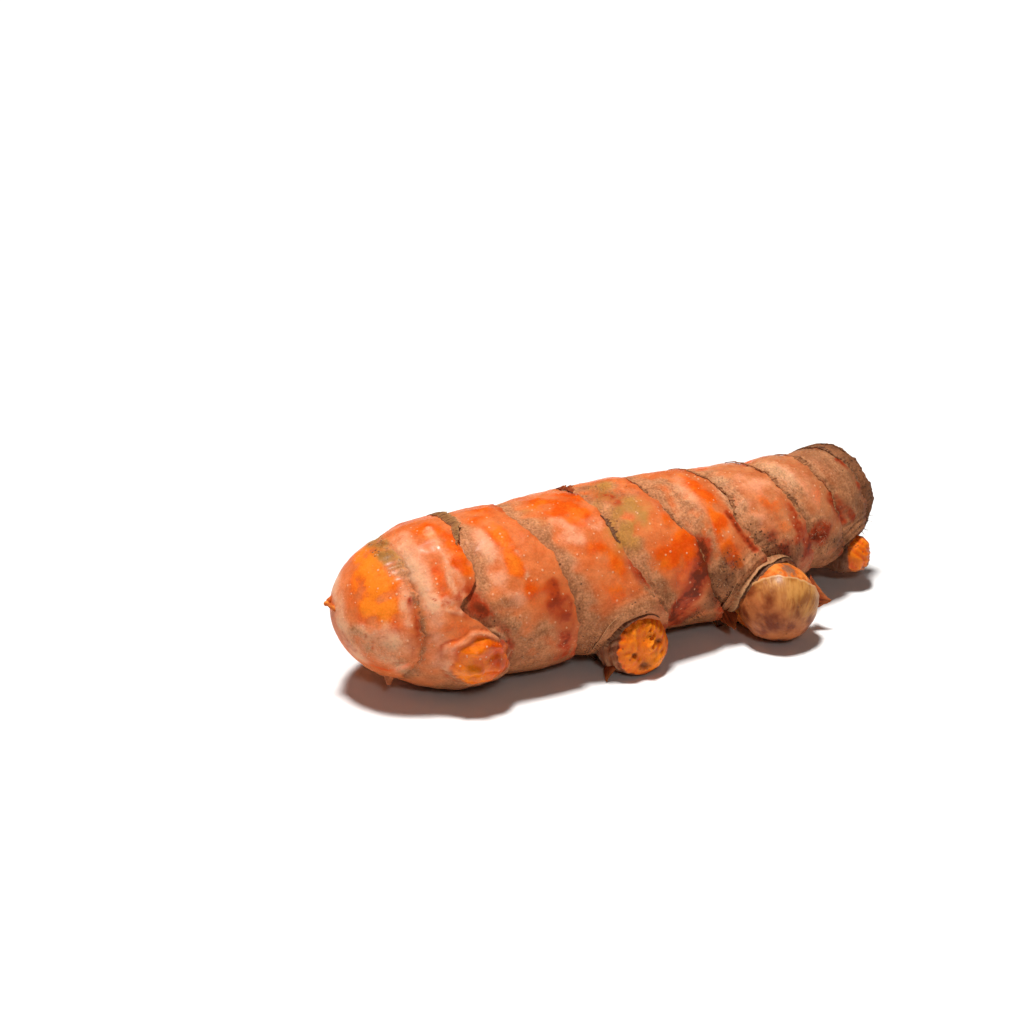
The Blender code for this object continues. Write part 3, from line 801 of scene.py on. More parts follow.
def bud_cap():
    """The brown scale over the round bud: half a thin shell about its own middle way. A point at a
    polar angle p and an angle a round that way lies at radius * (cos p * middle way + sin p * side)."""
    middle, outward, _, _ = bud_frame(*BALL)
    centre = unit(np.array(CAP_WAY))
    first = unit(np.cross(centre, outward))
    angle = np.linspace(0, FULL_TURN, 144, endpoint=False)
    around, part = np.meshgrid(angle, np.linspace(0.02, 1, 64))
    uneven = sum(height * np.sin(waves * around + waves) for waves, height in CAP_WAVES)
    polar = part * (CAP_OPENING + uneven)
    flat = 6 * np.sin(polar) * np.cos(around), 6 * np.sin(polar) * np.sin(around)
    radius = CAP_RADIUS + 0.08 * step_up(part, 0.93, 1.0)
    radius = radius + 0.03 * face_noise(*flat, 2.2, 91) + 0.06 * face_noise(*flat, 6.0, 92)
    ring = round_turn(around, first, np.cross(centre, first))
    way = np.cos(polar)[..., None] * centre + np.sin(polar)[..., None] * ring
    outside, inside = (middle + (radius - wall)[..., None] * way for wall in (0.0, CAP_WALL))

    def both(values):
        return np.concatenate((values, values[::-1]))

    shell = np.concatenate((outside, inside[::-1]))
    shell[..., 2] = np.maximum(shell[..., 2], 0.0)
    piece = closed_piece("round_bud_scale", shell)
    bright = ((outside - middle) / 6.2) @ np.array(CAP_CROWN)
    paint(piece, "outward", both(part))
    paint(piece, "bright", both(np.clip(0.5 + 0.5 * bright, 0, 1)))
    veins = np.stack((6 * np.cos(around), 6 * np.sin(around), 1.5 * polar), -1) * MM
    paint(piece, "veins", both(veins), "FLOAT_VECTOR")
    return piece


# Thin scales

# How far the foot of a torn lip stands off the plain skin.
FRILL_RISE = 0.36
# A collar's foot is looked for along its cylinder, at these heights along the bud's axis, this deep in
# the skin, and is then smoothed this often.
FOOT_HEIGHTS = np.linspace(-8, 3, 111)
FOOT_DEPTH = 0.2
FOOT_ROUNDS = 6


def frill(name, foot, way, lift, reach, curl, thickness, steps=9):
    """A thin sheet standing on a foot line. A point at share v of its reach lies at
    foot + way * reach * v + lift * curl * reach * v squared. Its wall thins to the free edge and its
    cross-section is a closed loop, so the sheet is closed all round."""
    share = np.linspace(0, 1, steps)
    span = reach[:, None, None] * share[:, None]
    middle = foot[:, None] + way[:, None] * span + lift[:, None] * (curl * span * share[:, None])
    heading = np.gradient(middle, axis=1)
    normal = np.cross(np.gradient(foot, axis=0)[:, None] * np.ones_like(heading), heading)
    normal = normal / np.maximum(np.linalg.norm(normal, axis=-1, keepdims=True), 1e-9)
    wall = normal * (thickness / 2 * (1 - 0.75 * share**2)[None, :, None])
    loop = np.concatenate((middle + wall, (middle - wall)[:, ::-1]), 1)
    loop[..., 2] = np.maximum(loop[..., 2], 0.0)
    piece = closed_piece(name, loop)
    shape = (len(foot), 2 * steps)
    paint(piece, "outward", np.broadcast_to(np.concatenate((share, share[::-1])), shape))
    paint(piece, "run", np.broadcast_to(np.linspace(0, 1, len(foot))[:, None], shape))
    return piece


def ragged(count, seed, rough=0.5):
    """A ragged row of shares between 0 and 1: seeded waves, folded so that they have sharp tips."""
    dice = np.random.default_rng(seed)
    place = np.linspace(0, 1, count)
    total = np.zeros(count)
    for waves, weight in ((3, 1.0), (7, 0.8), (13, 0.6), (23, 0.5), (41, 0.35)):
        total = total + weight * np.abs(np.sin(np.pi * waves * place + dice.uniform(0, 3)))
    return (1 - rough) + rough * total / total.max()


def ring_frill(
    name, ring, first, last, reach, seed, lift=0.35, count=150, thickness=0.14, back=0.25, teeth=1.0
):
    """A torn papery lip along a stretch of a ring, pointing to the broken end: its reach is a ragged
    row of shares raised to the power of its teeth."""
    angle = np.radians(np.linspace(first, last, count))
    line = ring_line(ring, angle)
    foot = skin_place(line - back, angle, np.full(count, FRILL_RISE))
    way = unit(skin_place(line + 1.0, angle, np.full(count, FRILL_RISE + lift)) - foot)
    outward = unit(foot - axis_place(line)[0])
    ends = np.sin(np.pi * np.linspace(0, 1, count)) ** 0.6
    torn = ragged(count, seed, 0.9) ** teeth
    return frill(name, foot, way, outward, reach * torn * ends + 0.02, -0.25, thickness)


def collar(name, spot, radius, first, last, reach, flare, seed, thickness=0.16, rough=0.35, count=120):
    """A papery collar on part of a circle round a bud. It stands on the skin and flares from the bud's
    axis: its foot is the place on that circle's cylinder where the skin is met."""
    middle, outward, side, upward = bud_frame(*spot)
    angle = np.radians(np.linspace(first, last, count))
    dice = np.random.default_rng(seed)
    wobble = 1 + 0.03 * np.sin(3 * angle + dice.uniform(0, 6))
    wobble = wobble + 0.015 * np.sin(8 * angle + dice.uniform(0, 6))
    radial = round_turn(angle, upward, side)
    line = middle + radial[:, None] * (radius * wobble)[:, None, None] + FOOT_HEIGHTS[:, None] * outward
    inside = depth_in_skin(line) > FOOT_DEPTH
    highest = len(FOOT_HEIGHTS) - 1 - np.argmax(inside[:, ::-1], 1)
    height = FOOT_HEIGHTS[np.where(inside.any(1), highest, 0)]
    for _ in range(FOOT_ROUNDS):
        height[1:-1] = (height[:-2] + height[1:-1] + height[2:]) / 3
    foot = line[:, 0] + (height - FOOT_HEIGHTS[0])[:, None] * outward
    way = outward * math.cos(math.radians(flare)) + radial * math.sin(math.radians(flare))
    ends = np.sin(np.pi * np.linspace(0, 1, count)) ** 0.5
    return frill(name, foot, way, radial, reach * ragged(count, seed, rough) * ends + 0.02, -0.2, thickness)


def scale_leaf(name, at, points, width_way, length, width, curl, seed, tip=0.7, count=40):
    """A pointed, cupped scale: its foot is an arc across its width, its reach runs to a point. Its ways
    are given along the root, to the front and up."""
    point, along, front = axis_place(at[0])
    root = point + front * at[1]
    root[2] = at[2]
    turn = np.stack((along, front, (0.0, 0.0, 1.0)))
    way, wide = unit(np.array(points) @ turn), np.array(width_way) @ turn
    wide = unit(wide - way * (wide @ way))
    lift = np.cross(wide, way)
    across = np.linspace(-1, 1, count)
    foot = root + wide * (across * width / 2)[:, None] + lift * (0.22 * width * across**2)[:, None]
    pointed = 1 - np.abs(across + 0.15 * (1 - across**2)) ** (1 + tip)
    fan = unit(way + wide * (-0.25 * across)[:, None])
    reach = length * pointed * ragged(count, seed, 0.18) + 0.05
    return frill(name, foot, fan, np.broadcast_to(lift, foot.shape), reach, curl, 0.28, steps=14)


def thread(name, line, radius, sides=8):
    """A round thread along a line of points, of a radius at each point."""
    line = np.asarray(line, float)
    ahead = unit(np.gradient(line, axis=0))
    first = unit(np.cross(ahead, (0.31, 0.17, 0.93)))[:, None]
    angle = np.broadcast_to(np.linspace(0, FULL_TURN, sides, endpoint=False), (len(line), sides))
    ring = round_turn(angle, first, np.cross(ahead[:, None], first))
    return closed_piece(name, line[:, None] + ring * np.asarray(radius)[:, None, None])


def hairs(name, spots, length, radius, seed):
    """Many short hairs in one piece: each a bent three-sided spike standing on the skin.

    A point at share v of a hair lies at root + way * length * v + bend * v squared.
    """
    dice = np.random.default_rng(seed)
    count = len(spots[0])
    root, above = (skin_place(*spots, np.full(count, rise)) for rise in (0.25, 1.25))
    way = unit(above - root + dice.normal(0, 0.75, (count, 3)))
    bend = dice.normal(0, 0.3, (count, 3)) * length
    long = length * dice.uniform(0.4, 1.2, count)
    share = np.linspace(0, 1, 4)
    line = root[:, None] + way[:, None] * (long[:, None] * share)[..., None]
    line = line + bend[:, None] * (share**2)[:, None]
    first = unit(np.cross(way, (0.3, 0.9, 0.2)))[:, None]
    turns = np.broadcast_to(np.linspace(0, FULL_TURN, 3, endpoint=False), (count, 3))
    ring = round_turn(turns, first, np.cross(way[:, None], first))
    size = radius * (1 - 0.85 * share)
    places = line[:, :, None] + ring[:, None] * size[None, :, None, None]
    places[..., 2] = np.maximum(places[..., 2], 0.02)
    offsets = (np.arange(count) * 12)[:, None, None]
    row, column = np.meshgrid(np.arange(3) * 3, np.arange(3), indexing="ij")
    beside = (column + 1) % 3
    quads = np.stack((row + column, row + beside, row + 3 + beside, row + 3 + column), -1).reshape(-1, 4)
    ends = np.array(((2, 1, 0), (9, 10, 11)))
    quads, ends = ((offsets + part).reshape(-1, part.shape[1]).tolist() for part in (quads, ends))
    return mesh_piece(name, places.reshape(-1, 3), quads + ends)


def scatter(strokes, count, seed):
    """Seeded places near the lines of some strokes, as distances and angles."""
    dice = np.random.default_rng(seed)
    spots = []
    for points, half_width, _ in strokes:
        line = np.reshape(points, (-1, 2))
        share = dice.uniform(0, len(line) - 1, count)
        at = [np.interp(share, np.arange(len(line)), line[:, k]) for k in (0, 1)]
        along = at[0] + dice.normal(0, half_width * 0.6, count)
        spots.append((along, np.radians(at[1]) + dice.normal(0, half_width * 0.6, count) / THICK_RADIUS))
    return np.concatenate(spots, 1)


# Materials


class Value:
    """A number, colour or vector of a shader tree. Sums and products of it add Math nodes."""

    def __init__(self, nodes, socket):
        self.nodes, self.socket = nodes, socket

    def __add__(self, other):
        return self.nodes.math("ADD", self, other)

    def __mul__(self, other):
        return self.nodes.math("MULTIPLY", self, other)

    def __sub__(self, other):
        return self.nodes.math("SUBTRACT", self, other)

    def __rsub__(self, other):
        return self.nodes.math("SUBTRACT", other, self)

    def step(self, low, high, to_low=0.0, to_high=1.0):
        values = {"Value": self, "From Min": low, "From Max": high, "To Min": to_low, "To Max": to_high}
        return self.nodes.add("ShaderNodeMapRange", values, interpolation_type="SMOOTHSTEP")

    def beside(self, name):
        """Another output of the same node."""
        return Value(self.nodes, self.socket.node.outputs[name])


class Nodes:
    """Adds nodes to a tree. A value of the tree is linked, and any other value is set."""

    def __init__(self, tree):
        self.tree = tree

    def put(self, node, values):
        for key, value in values.items():
            socket = node.inputs[key]
            if isinstance(value, Value):
                self.tree.links.new(value.socket, socket)
            else:
                socket.default_value = (*value, 1.0) if socket.type == "RGBA" else value

    def add(self, kind, values, output=0, **settings):
        """One output of a new node, after its settings and values."""
        node = self.tree.nodes.new(kind)
        for key, value in settings.items():
            setattr(node, key, value)
        self.put(node, values)
        return Value(self, node.outputs[output])

    def math(self, operation, first, second, clamp=False):
        return self.add("ShaderNodeMath", {0: first, 1: second}, operation=operation, use_clamp=clamp)

    def mix(self, factor, first, second, blend="MIX"):
        values = {0: factor, 6: first, 7: second}
        return self.add("ShaderNodeMix", values, output=2, data_type="RGBA", blend_type=blend)

    def layers(self, ground, tints):
        """Tints laid over a ground in order, each by its mask."""
        for mask, tint in tints:
            ground = self.mix(mask, ground, tint)
        return ground

    def noise(self, place, size, detail=2.0, roughness=0.55):
        """Noise with features of about a size in millimetres."""
        values = {"Vector": place, "Scale": 1 / (size * MM), "Detail": detail, "Roughness": roughness}
        return self.add("ShaderNodeTexNoise", values)

    def cells(self, place, size):
        """The distance to the middle of cells of a size in millimetres."""
        return self.add("ShaderNodeTexVoronoi", {"Vector": place, "Scale": 1 / (size * MM)})

    def number(self, name):
        return self.add("ShaderNodeAttribute", {}, output="Fac", attribute_name=name)

    def vector(self, name):
        return self.add("ShaderNodeAttribute", {}, output="Vector", attribute_name=name)

    def use(self, group, **values):
        return self.add("ShaderNodeGroup", values, node_tree=group)

    def shade(self, relief=None, depth=0.0, **values):
        """Puts values on the material's shader, and a relief from 0 to 1 with its depth in millimetres."""
        if relief:
            heights = {"Height": relief, "Distance": depth * MM, "Strength": 1.0}
            values["Normal"] = self.add("ShaderNodeBump", heights)
        shader = self.tree.nodes["Principled BSDF"]
        self.put(shader, {key.replace("_", " "): value for key, value in values.items()})


def new_group(name, inputs, outputs, work):
    """A shader group with named sockets. Its work makes the outputs from the inputs, in order."""
    tree = bpy.data.node_groups.new(name, "ShaderNodeTree")
    for side, labels in (("INPUT", inputs), ("OUTPUT", outputs)):
        for label in labels:
            kind = "NodeSocketVector" if label in ("Place", "Stretch") else "NodeSocketFloat"
            tree.interface.new_socket(label, in_out=side, socket_type=kind)
    nodes = Nodes(tree)
    given = tree.nodes.new("NodeGroupInput").outputs
    made = work(nodes, *(Value(nodes, given[label]) for label in inputs))
    nodes.put(tree.nodes.new("NodeGroupOutput"), dict(zip(outputs, made)))
    return tree


def grain_work(nodes, place, pores, specks):
    """Fine grain of root skin: a tone that darkens and lightens it, pale pores, dark specks and their
    relief."""
    fine = nodes.noise(place, 0.32, 3.0, 0.6)
    tone = fine * 0.6 + nodes.noise(place, 1.6) * 0.4
    cells, dots = nodes.cells(place, 0.92), nodes.cells(place, 0.62)
    chance = nodes.add("ShaderNodeSeparateColor", {0: cells.beside("Color")})
    luck = nodes.add("ShaderNodeSeparateColor", {0: dots.beside("Color")}, output=1)
    pore = (chance.step(0.05, 1.0, 0.02, 0.21) - cells).step(-0.03, 0.07) * pores
    speck = dots.step(0.36, 0.16) * (luck - (1.0 - specks)).step(0.0, 0.08)
    return tone, pore, speck, fine * 0.5 + pore * 0.55 - speck * 0.45


def fibre_work(nodes, place, stretch):
    """Streaks of dry fibre: noise stretched along one way of a place."""
    stretched = nodes.add("ShaderNodeVectorMath", {0: place, 1: stretch}, operation="MULTIPLY")
    return (nodes.noise(stretched, 1.0, 3.0, 0.65).step(0.3, 0.7),)


def new_material(name, **values):
    """A material whose shader has plain values, its node adder and its Object coordinates."""
    made = bpy.data.materials.new(name)
    made.use_nodes = True
    nodes = Nodes(made.node_tree)
    nodes.shade(**values)
    return made, nodes, nodes.add("ShaderNodeTexCoord", {}, output="Object")


FLESH_LIGHT = {
    "Subsurface_Weight": 0.12,
    "Subsurface_Radius": (1.0, 0.35, 0.12),
    "Subsurface_Scale": 0.0012,
    "Specular_IOR_Level": 0.1,
}


def skin_material(grain, fibre):
    """Root skin: the painted colours laid in order over a pink ground, with grain, pores and specks."""
    made, nodes, place = new_material("turmeric_skin", Coat_Roughness=0.22, **FLESH_LIGHT)
    bare, blush, dry, ochre, gold, stain, dirt = map(
        nodes.number, ("bare", "blush", "dry", "ochre", "gold", "stain", "dirt")
    )
    crease, edge, pale, flesh, low, far, worn = map(
        nodes.number, ("crease", "edge", "pale", "flesh", "low", "far", "worn")
    )
    moist = nodes.math("SUBTRACT", 1.0, dry, clamp=True)
    specks = nodes.math("ADD", dirt * 0.75, dry * 0.10, clamp=True)
    tone = nodes.use(grain, Place=place, Pores=moist * 0.9, Specks=specks)
    streak = nodes.use(fibre, Place=nodes.vector("unrolled"), Stretch=(1.6, 0.35, 0.35))
    grainy = tone - 0.5
    broad, blotch = nodes.noise(place, 5.0), nodes.noise(place, 1.8, 4.0, 0.6)
    stain = stain * blotch.step(0.38, 0.6, 0.62, 1.12)
    pale = pale * blotch.step(0.36, 0.62, 1.15, 0.75)

    def masked(mask, low, high, shift=0.8):
        return (mask + grainy * shift).step(low, high)

    mixed = (broad * 0.5 + blotch * 0.5).step(0.36, 0.64)
    near_skin = nodes.mix(mixed, (0.64, 0.125, 0.026), (0.73, 0.19, 0.056))
    far_skin = nodes.mix(mixed, (0.50, 0.13, 0.042), (0.60, 0.225, 0.09))
    orange = nodes.mix(mixed, (0.70, 0.07, 0.003), (0.84, 0.145, 0.008))
    orange = nodes.mix(masked(gold, 0.0, 1.0), orange, (0.88, 0.21, 0.014))
    dusty = (streak * 0.2 + tone * 1.4).step(0.35, 1.15)
    # On the underside, and near the broken end, the tan turns darker brown; on the underside this is partly
    # painted shade.
    under = nodes.mix(tone, (0.22, 0.07, 0.025), (0.40, 0.15, 0.065))
    tan = nodes.mix(low * 0.8, nodes.mix(dusty, (0.33, 0.12, 0.043), (0.59, 0.25, 0.115)), under)
    deep = (stain + grainy * 0.5).step(0.55, 1.0)
    bright_pale = masked(pale, 0.0, 1.0, 0.5)
    ground = nodes.layers(
        nodes.mix(far, near_skin, far_skin),
        (
            (masked(blush, 0.0, 1.1), (0.80, 0.30, 0.15)),
            (masked(bare, 0.1, 0.9, 0.7), orange),
            # Pale skin, over the ground and again over the tan; on the dome's right flank the pale is a
            # painted highlight.
            (bright_pale * 0.8, (0.86, 0.42, 0.24)),
            (masked(dry, 0.05, 0.95) * 0.92, tan),
            (bright_pale * 0.45, (0.74, 0.40, 0.21)),
            (masked(ochre, 0.0, 1.1), (0.47, 0.20, 0.045)),
            (masked(flesh, 0.0, 0.9, 0.4), nodes.mix(mixed, (0.66, 0.07, 0.002), (0.86, 0.20, 0.006))),
            # Red-brown stains, with the painted shade at the ends of the bands.
            (masked(stain, 0.05, 0.7, 0.6), nodes.mix(deep, (0.41, 0.045, 0.009), (0.18, 0.024, 0.005))),
            (edge * 0.45, (0.26, 0.09, 0.035)),
            (tone.beside("Pore") * 0.75, (0.88, 0.44, 0.24)),
            (tone.beside("Speck") * 0.8, (0.05, 0.022, 0.012)),
            (dirt * 0.5, (0.08, 0.032, 0.016)),
            # The ring's brown line with the painted shade under its lip.
            (crease * 0.6, (0.19, 0.07, 0.028)),
        ),
    )
    shade = ((tone.step(0.3, 0.7) - 0.55) * (dry * 0.26 + 0.24) + 1.0) * (1.0 - worn * 0.3)
    grey = nodes.add("ShaderNodeCombineColor", {0: shade, 1: shade, 2: shade})
    wet = nodes.math("MAXIMUM", bare, blush) * nodes.math("SUBTRACT", 1.0, stain, clamp=True)
    nodes.shade(
        Base_Color=nodes.mix(1.0, ground, grey, blend="MULTIPLY"),
        Roughness=nodes.math("MINIMUM", dry * 0.34 + 0.40 + grainy * 0.35 - bare * 0.06, 0.9),
        Coat_Weight=wet * 0.3,
        relief=tone.beside("Relief") + streak * dry * 0.8,
        depth=0.11,
    )
    return made


def bud_material(name, grain, fibre, deep, bright):
    """Orange flesh in brown bark, with dark pits."""
    made, nodes, place = new_material(name, Coat_Roughness=0.25, **FLESH_LIGHT)
    flesh, streak, pit, tan = map(nodes.number, ("flesh", "streak", "pit", "tan"))
    tone = nodes.use(grain, Place=place, Pores=0.25, Specks=0.18)
    fibres = nodes.use(fibre, Place=place, Stretch=(1.2, 1.2, 0.4))
    grainy = tone - 0.5
    mask = (flesh + grainy).step(0.25, 0.7)
    orange = nodes.mix(fibres * 0.25, nodes.mix(streak, deep, bright), (0.84, 0.27, 0.02))
    ground = nodes.layers(
        nodes.mix(fibres, (0.15, 0.03, 0.01), (0.32, 0.10, 0.04)),
        (
            (tan * 0.5, (0.42, 0.22, 0.12)),
            (mask, orange),
            (pit * 0.8, (0.10, 0.035, 0.015)),
            (tone.beside("Speck") * 0.5, (0.14, 0.04, 0.015)),
        ),
    )
    relief = tone.beside("Relief") + fibres
    nodes.shade(relief, 0.14, Base_Color=ground, Roughness=grainy * 0.4 + 0.42, Coat_Weight=mask * 0.12)
    return made


def cap_material(grain, fibre):
    """The bud's brown scale, patchy, with an ochre crown and a pale rim."""
    looks = {**FLESH_LIGHT, "Subsurface_Weight": 0.1, "Subsurface_Radius": (1.0, 0.4, 0.15)}
    looks.update(Subsurface_Scale=0.001, Coat_Roughness=0.25, Specular_IOR_Level=0.15)
    made, nodes, place = new_material("bud_scale", **looks)
    tone = nodes.use(grain, Place=place, Pores=0.1, Specks=0.15)
    fibres = nodes.use(fibre, Place=nodes.vector("veins"), Stretch=(1.3, 1.3, 1.3))
    broad, patch = nodes.noise(place, 3.0), nodes.noise(place, 2.8, 3.0, 0.5)
    mottled = (fibres * 0.4 + patch * 0.6).step(0.3, 0.7)
    crown = (nodes.number("bright") + patch * 0.55).step(0.62, 1.02)
    rim = (nodes.number("outward") + broad * 0.03).step(0.968, 1.005)
    ground = nodes.layers(
        nodes.mix(patch.step(0.36, 0.62), (0.19, 0.038, 0.010), (0.44, 0.13, 0.040)),
        (
            (crown * 0.8, nodes.mix(mottled, (0.40, 0.14, 0.024), (0.64, 0.29, 0.07))),
            (tone.beside("Speck") * 0.5, (0.10, 0.03, 0.015)),
            (rim * 0.8, (0.70, 0.36, 0.15)),
        ),
    )
    relief = tone.beside("Relief") + fibres * 0.5
    nodes.shade(relief, 0.10, Base_Color=ground, Roughness=broad * 0.2 + 0.34, Coat_Weight=crown * 0.12)
    return made


def paper_material(name, fibre, dark, light, rim, lit):
    """A papery scale: streaks along its reach, darker at its foot, paler or darker at its free edge."""
    looks = {"Subsurface_Weight": 0.08, "Subsurface_Scale": 0.0006, "Specular_IOR_Level": 0.12}
    made, nodes, place = new_material(name, **looks)
    outward = nodes.number("outward")
    laid = nodes.add("ShaderNodeCombineXYZ", {0: nodes.number("run") * 0.012, 1: outward * 0.0006, 2: 0.0})
    streak = nodes.use(fibre, Place=laid, Stretch=(4.0, 1.0, 1.0))
    broad = nodes.noise(place, 0.9, 3.0)
    uneven = streak + broad
    ground = nodes.mix(uneven.step(0.6, 1.4), dark, light)
    ground = nodes.mix(outward.step(0.55, 1.0) * lit, ground, rim)
    nodes.shade(uneven, 0.04, Base_Color=ground, Roughness=broad * 0.35 + 0.5)
    return made


def hair_material(name, dark, light):
    """A plain look of two mottled colours, for threads and hairs."""
    made, nodes, place = new_material(name, Roughness=0.7, Specular_IOR_Level=0.15)
    nodes.shade(Base_Color=nodes.mix(nodes.noise(place, 0.8).step(0.35, 0.65), dark, light))
    return made


# The root

# Papery looks: dark, light and rim colour, and how much of the rim's.
PAPERS = {
    "beige": ((0.33, 0.125, 0.05), (0.50, 0.22, 0.10), (0.62, 0.32, 0.155), 0.6),
    "brown": ((0.09, 0.03, 0.014), (0.28, 0.12, 0.055), (0.16, 0.07, 0.035), 0.5),
    "bark": ((0.19, 0.06, 0.022), (0.42, 0.17, 0.07), (0.30, 0.115, 0.045), 0.5),
    "olive": ((0.15, 0.055, 0.018), (0.36, 0.155, 0.052), (0.50, 0.26, 0.11), 0.5),
    "red": ((0.12, 0.018, 0.005), (0.36, 0.065, 0.015), (0.52, 0.16, 0.045), 0.5),
}
# Looks of threads and hairs: dark and light colour.
HAIR_LOOKS = {
    "orange_peel": ((0.50, 0.09, 0.012), (0.82, 0.26, 0.04)),
    "nub_skin": ((0.34, 0.09, 0.03), (0.56, 0.20, 0.08)),
    "dark_hair": ((0.04, 0.018, 0.01), (0.14, 0.07, 0.04)),
    "pale_hair": ((0.30, 0.16, 0.08), (0.62, 0.42, 0.26)),
}
# Thin scales: maker, look, name, then what the maker is given, and its options.
SCALES = (
    (collar, "beige", "stub_collar_outer", (STUB, 6.3, 10, 100, 1.5, 52, 101), {"thickness": 0.2}),
    (collar, "brown", "stub_collar_inner", (STUB, 5.5, -60, 150, 1.3, -12, 102), {}),
    (
        collar, "beige", "round_collar_outer",
        (BALL, 8.1, 10, 140, 1.1, 40, 103), {"thickness": 0.14, "rough": 0.25},
    ),
    (
        collar, "beige", "round_collar_middle",
        (BALL, 7.0, -50, 160, 1.4, -16, 104), {"thickness": 0.13, "rough": 0.3},
    ),
    (collar, "brown", "round_collar_inner", (BALL, 6.5, -80, 170, 1.7, -14, 105), {}),
    (collar, "bark", "small_collar", (SMALL, 3.6, -90, 110, 0.9, 20, 106), {}),
    (
        scale_leaf, "red", "right_scale",
        ((70.6, 14.4, 6.0), (0.80, 0.75, -0.12), (0.04, -0.47, 0.88), 3.9, 6.0, 0.2, 111), {"tip": 0.3},
    ),
    (
        scale_leaf, "red", "left_scale",
        ((60.2, 8.8, 4.8), (-0.05, 0.72, -0.62), (0.87, 0.48, 0.0), 4.4, 5.0, -0.25, 112), {},
    ),
    (
        scale_leaf, "red", "stub_scale",
        ((38.6, 11.0, 1.8), (-0.75, 0.5, -0.1), (0.4, 0.6, 0.5), 3.1, 3.4, 0.5, 113), {},
    ),
    (
        ring_frill, "olive", "ring_two_flake",
        (1, -32, 20, 1.9, 121), {"lift": 0.6, "thickness": 0.16, "teeth": 0.4},
    ),
    (
        ring_frill, "bark", "ring_two_under_flake",
        (1, -20, 24, 1.5, 134), {"lift": 0.3, "teeth": 0.9, "back": 0.4},
    ),
    (ring_frill, "red", "ring_four_flake", (3, -24, -6, 1.6, 122), {"lift": 1.0}),
    (ring_frill, "brown", "ring_four_edge", (3, 26, 50, 1.3, 123), {"teeth": 2.0}),
    (ring_frill, "bark", "ring_five_edge", (4, -10, 74, 1.0, 124), {"teeth": 4.0}),
    (ring_frill, "bark", "ring_six_edge", (5, -30, 84, 1.0, 125), {"teeth": 3.6}),
    (ring_frill, "bark", "ring_seven_edge", (6, -30, 78, 1.2, 126), {"teeth": 3.2}),
    (ring_frill, "bark", "ring_seven_flap", (6, 36, 56, 1.7, 133), {"lift": 0.15}),
    (ring_frill, "bark", "ring_eight_edge", (7, -40, 80, 1.3, 127), {"teeth": 2.8}),
    (ring_frill, "bark", "ring_eight_notch", (7, -6, 24, 1.9, 128), {"lift": 0.15}),
    (ring_frill, "brown", "ring_nine_edge", (8, -80, 100, 1.1, 129), {"teeth": 1.4}),
    (ring_frill, "bark", "ring_nine_flap", (8, 22, 48, 1.7, 135), {"lift": 0.15}),
    (ring_frill, "brown", "end_fringe", (9, 0, 360, 1.5, 130), {"count": 320, "back": 0.6, "teeth": 1.3}),
)
SCAR_RIMS = (
    (collar, "beige", "near_scar_rim", (((24.4, -13.0, 9.6), 176, -8), 4.0, -150, 170, 0.7, 35, 131), {}),
    (collar, "beige", "far_scar_rim", (((47.8, -12.9, 9.2), 178, -8), 3.7, -150, 170, 0.7, 35, 132), {}),
)


def build_root():
    """Makes every piece of the root and its looks."""
    outputs = ("Tone", "Pore", "Speck", "Relief")
    grain = new_group("skin_grain", ("Place", "Pores", "Specks"), outputs, grain_work)
    fibre = new_group("dry_fibre", ("Place", "Stretch"), ("Streak",), fibre_work)
    flesh = bud_material("bud_flesh", grain, fibre, (0.70, 0.08, 0.002), (0.92, 0.23, 0.006))
    bud_skin = bud_material("bud_skin", grain, fibre, (0.60, 0.10, 0.012), (0.86, 0.26, 0.05))
    papers = {name: paper_material(name + "_scale", fibre, *look) for name, look in PAPERS.items()}
    plain = {name: hair_material(name, *look) for name, look in HAIR_LOOKS.items()}

    finish_piece(rhizome_skin(), skin_material(grain, fibre))
    finish_piece(cut_stub(), flesh)
    finish_piece(round_bud(), bud_skin)
    finish_piece(small_stub(), flesh)
    finish_piece(bud_cap(), cap_material(grain, fibre))

    def lay_scales(rows):
        for make, look, name, given, options in rows:
            finish_piece(make(name, *given, **options), papers[look])

    lay_scales(SCALES)
    turn = np.linspace(0, 1, 26)
    foot, end = skin_spot(0.7, 62, -0.4), skin_spot(0.4, 0, -0.4)
    aside = 1.15 * np.sin(np.pi * turn)[:, None] * np.array((-0.87, 0.48, 0.0))
    loop = foot + (end - foot) * turn[:, None] + aside
    loop[:, 2] += 0.35 * np.sin(FULL_TURN * turn)
    finish_piece(thread("tip_curl", loop, 0.30 + 0.12 * np.sin(3 * np.pi * turn) ** 2), plain["orange_peel"])
    nub = skin_place(np.linspace(7.2, 6.9, 8), np.full(8, math.radians(150)), np.linspace(-0.8, 1.1, 8))
    finish_piece(thread("root_nub", nub, np.linspace(1.0, 0.25, 8), 12), plain["nub_skin"])
    lay_scales(SCAR_RIMS)
    end_roots = np.random.default_rng(145).uniform((86.4, 0.6), (87.6, 2.4), (46, 2)).T
    for name, spots, length, radius, seed, look in (
        ("dark_hairs", scatter(DIRT, 90, 141), 0.9, 0.035, 142, "dark_hair"),
        ("end_hairs", end_roots, 1.5, 0.045, 146, "dark_hair"),
        ("pale_hairs", scatter(PAINTS["dry"], 60, 143), 0.6, 0.028, 144, "pale_hair"),
    ):
        finish_piece(hairs(name, spots, length, radius, seed), plain[look])


# Camera, floor and light


def put_at(item, ways, spot):
    """Turns an object's own ways to three ways, and puts it at a spot."""
    turn = np.eye(4)
    turn[:3, :3] = np.stack(ways, -1)
    turn[:3, 3] = spot
    item.matrix_world = Matrix(turn)


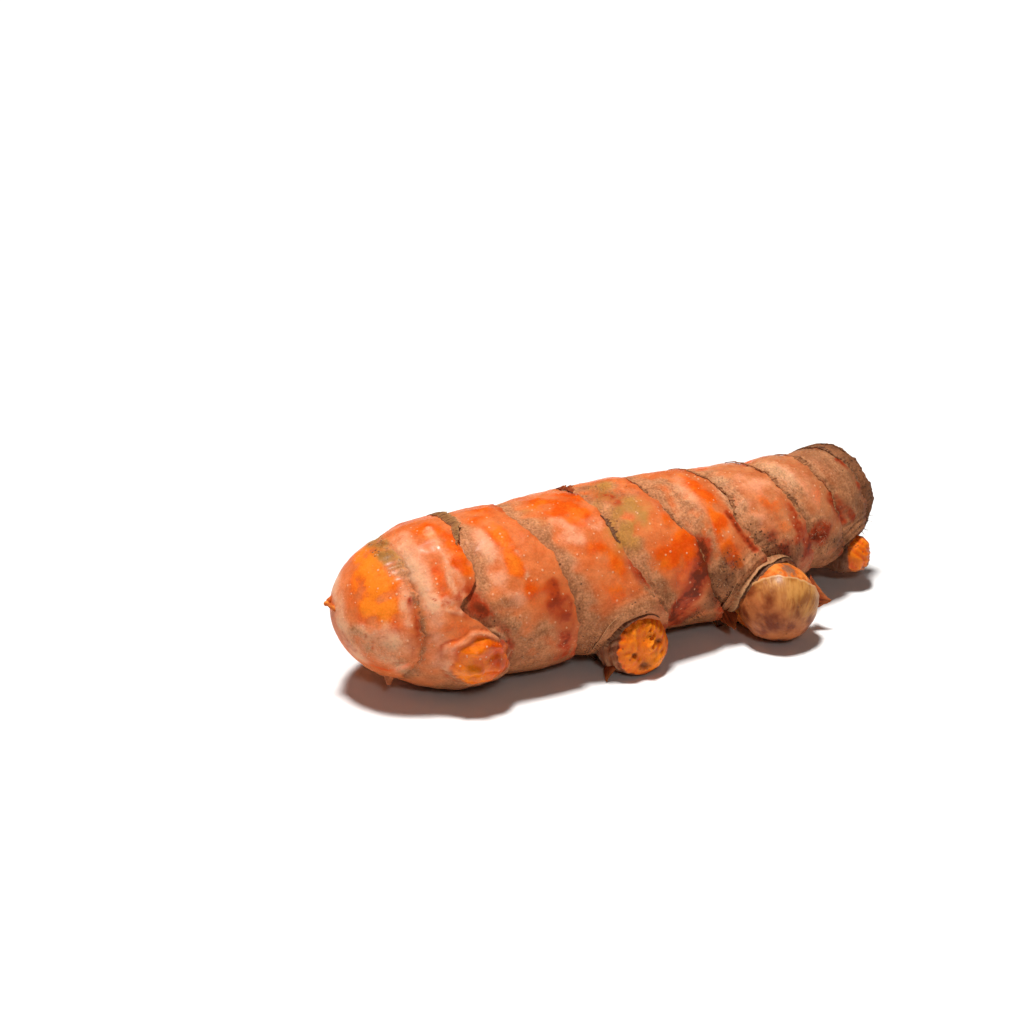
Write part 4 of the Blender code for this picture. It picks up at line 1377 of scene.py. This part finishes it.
def add_camera():
    """The camera of the photo, from its aim, its turn and how far it looks down."""
    level, down = math.cos(CAMERA_DOWN), math.sin(CAMERA_DOWN)
    forward = np.array((math.sin(CAMERA_TURN) * level, math.cos(CAMERA_TURN) * level, -down))
    right = np.array((math.cos(CAMERA_TURN), -math.sin(CAMERA_TURN), 0.0))
    upward = np.cross(right, forward)
    aim = np.array(CAMERA_AIM) - CAMERA_AIM_LEFT * right + CAMERA_AIM_UP * upward
    data = bpy.data.cameras.new("photo_camera")
    data.lens = CAMERA_LENS
    data.sensor_width = 36.0
    data.clip_start = 0.01
    camera = add_object("photo_camera", data)
    put_at(camera, (right, upward, -forward), (aim - forward * CAMERA_DISTANCE) * MM)
    bpy.context.scene.camera = camera


def add_light(name, spot, size, power, tint):
    """A square soft box at a spot, turned to the root."""
    data = bpy.data.lights.new(name, "AREA")
    data.size = size
    data.energy = power
    data.color = tint
    back = unit(np.array(spot, float))
    side = unit(np.cross((0.0, 1.0, 0.02), back))
    put_at(add_object(name, data), (side, np.cross(back, side), back), spot)


def add_floor():
    """A pale table, which stays out of the object."""
    mesh = bpy.data.meshes.new("table")
    corners = [(x * TABLE_HALF, y * TABLE_HALF, 0) for x, y in ((-1, -1), (1, -1), (1, 1), (-1, 1))]
    mesh.from_pydata(corners, [], [(0, 1, 2, 3)])
    table = add_object("table", mesh)
    made, nodes, place = new_material("table_white", Roughness=0.6)
    nodes.shade(Base_Color=nodes.mix(nodes.noise(place, 30.0), (0.88, 0.88, 0.88), (0.92, 0.92, 0.915)))
    mesh.materials.append(made)


def add_lights():
    """A faint studio all round and two soft boxes."""
    world = bpy.data.worlds.new("studio")
    world.use_nodes = True
    background = world.node_tree.nodes["Background"]
    background.inputs["Color"].default_value = STUDIO_TINT
    background.inputs["Strength"].default_value = STUDIO_STRENGTH
    bpy.context.scene.world = world
    for light in LIGHTS:
        add_light(*light)


bpy.context.scene.view_settings.view_transform = "Standard"
build_root()
add_floor()
add_lights()
add_camera()
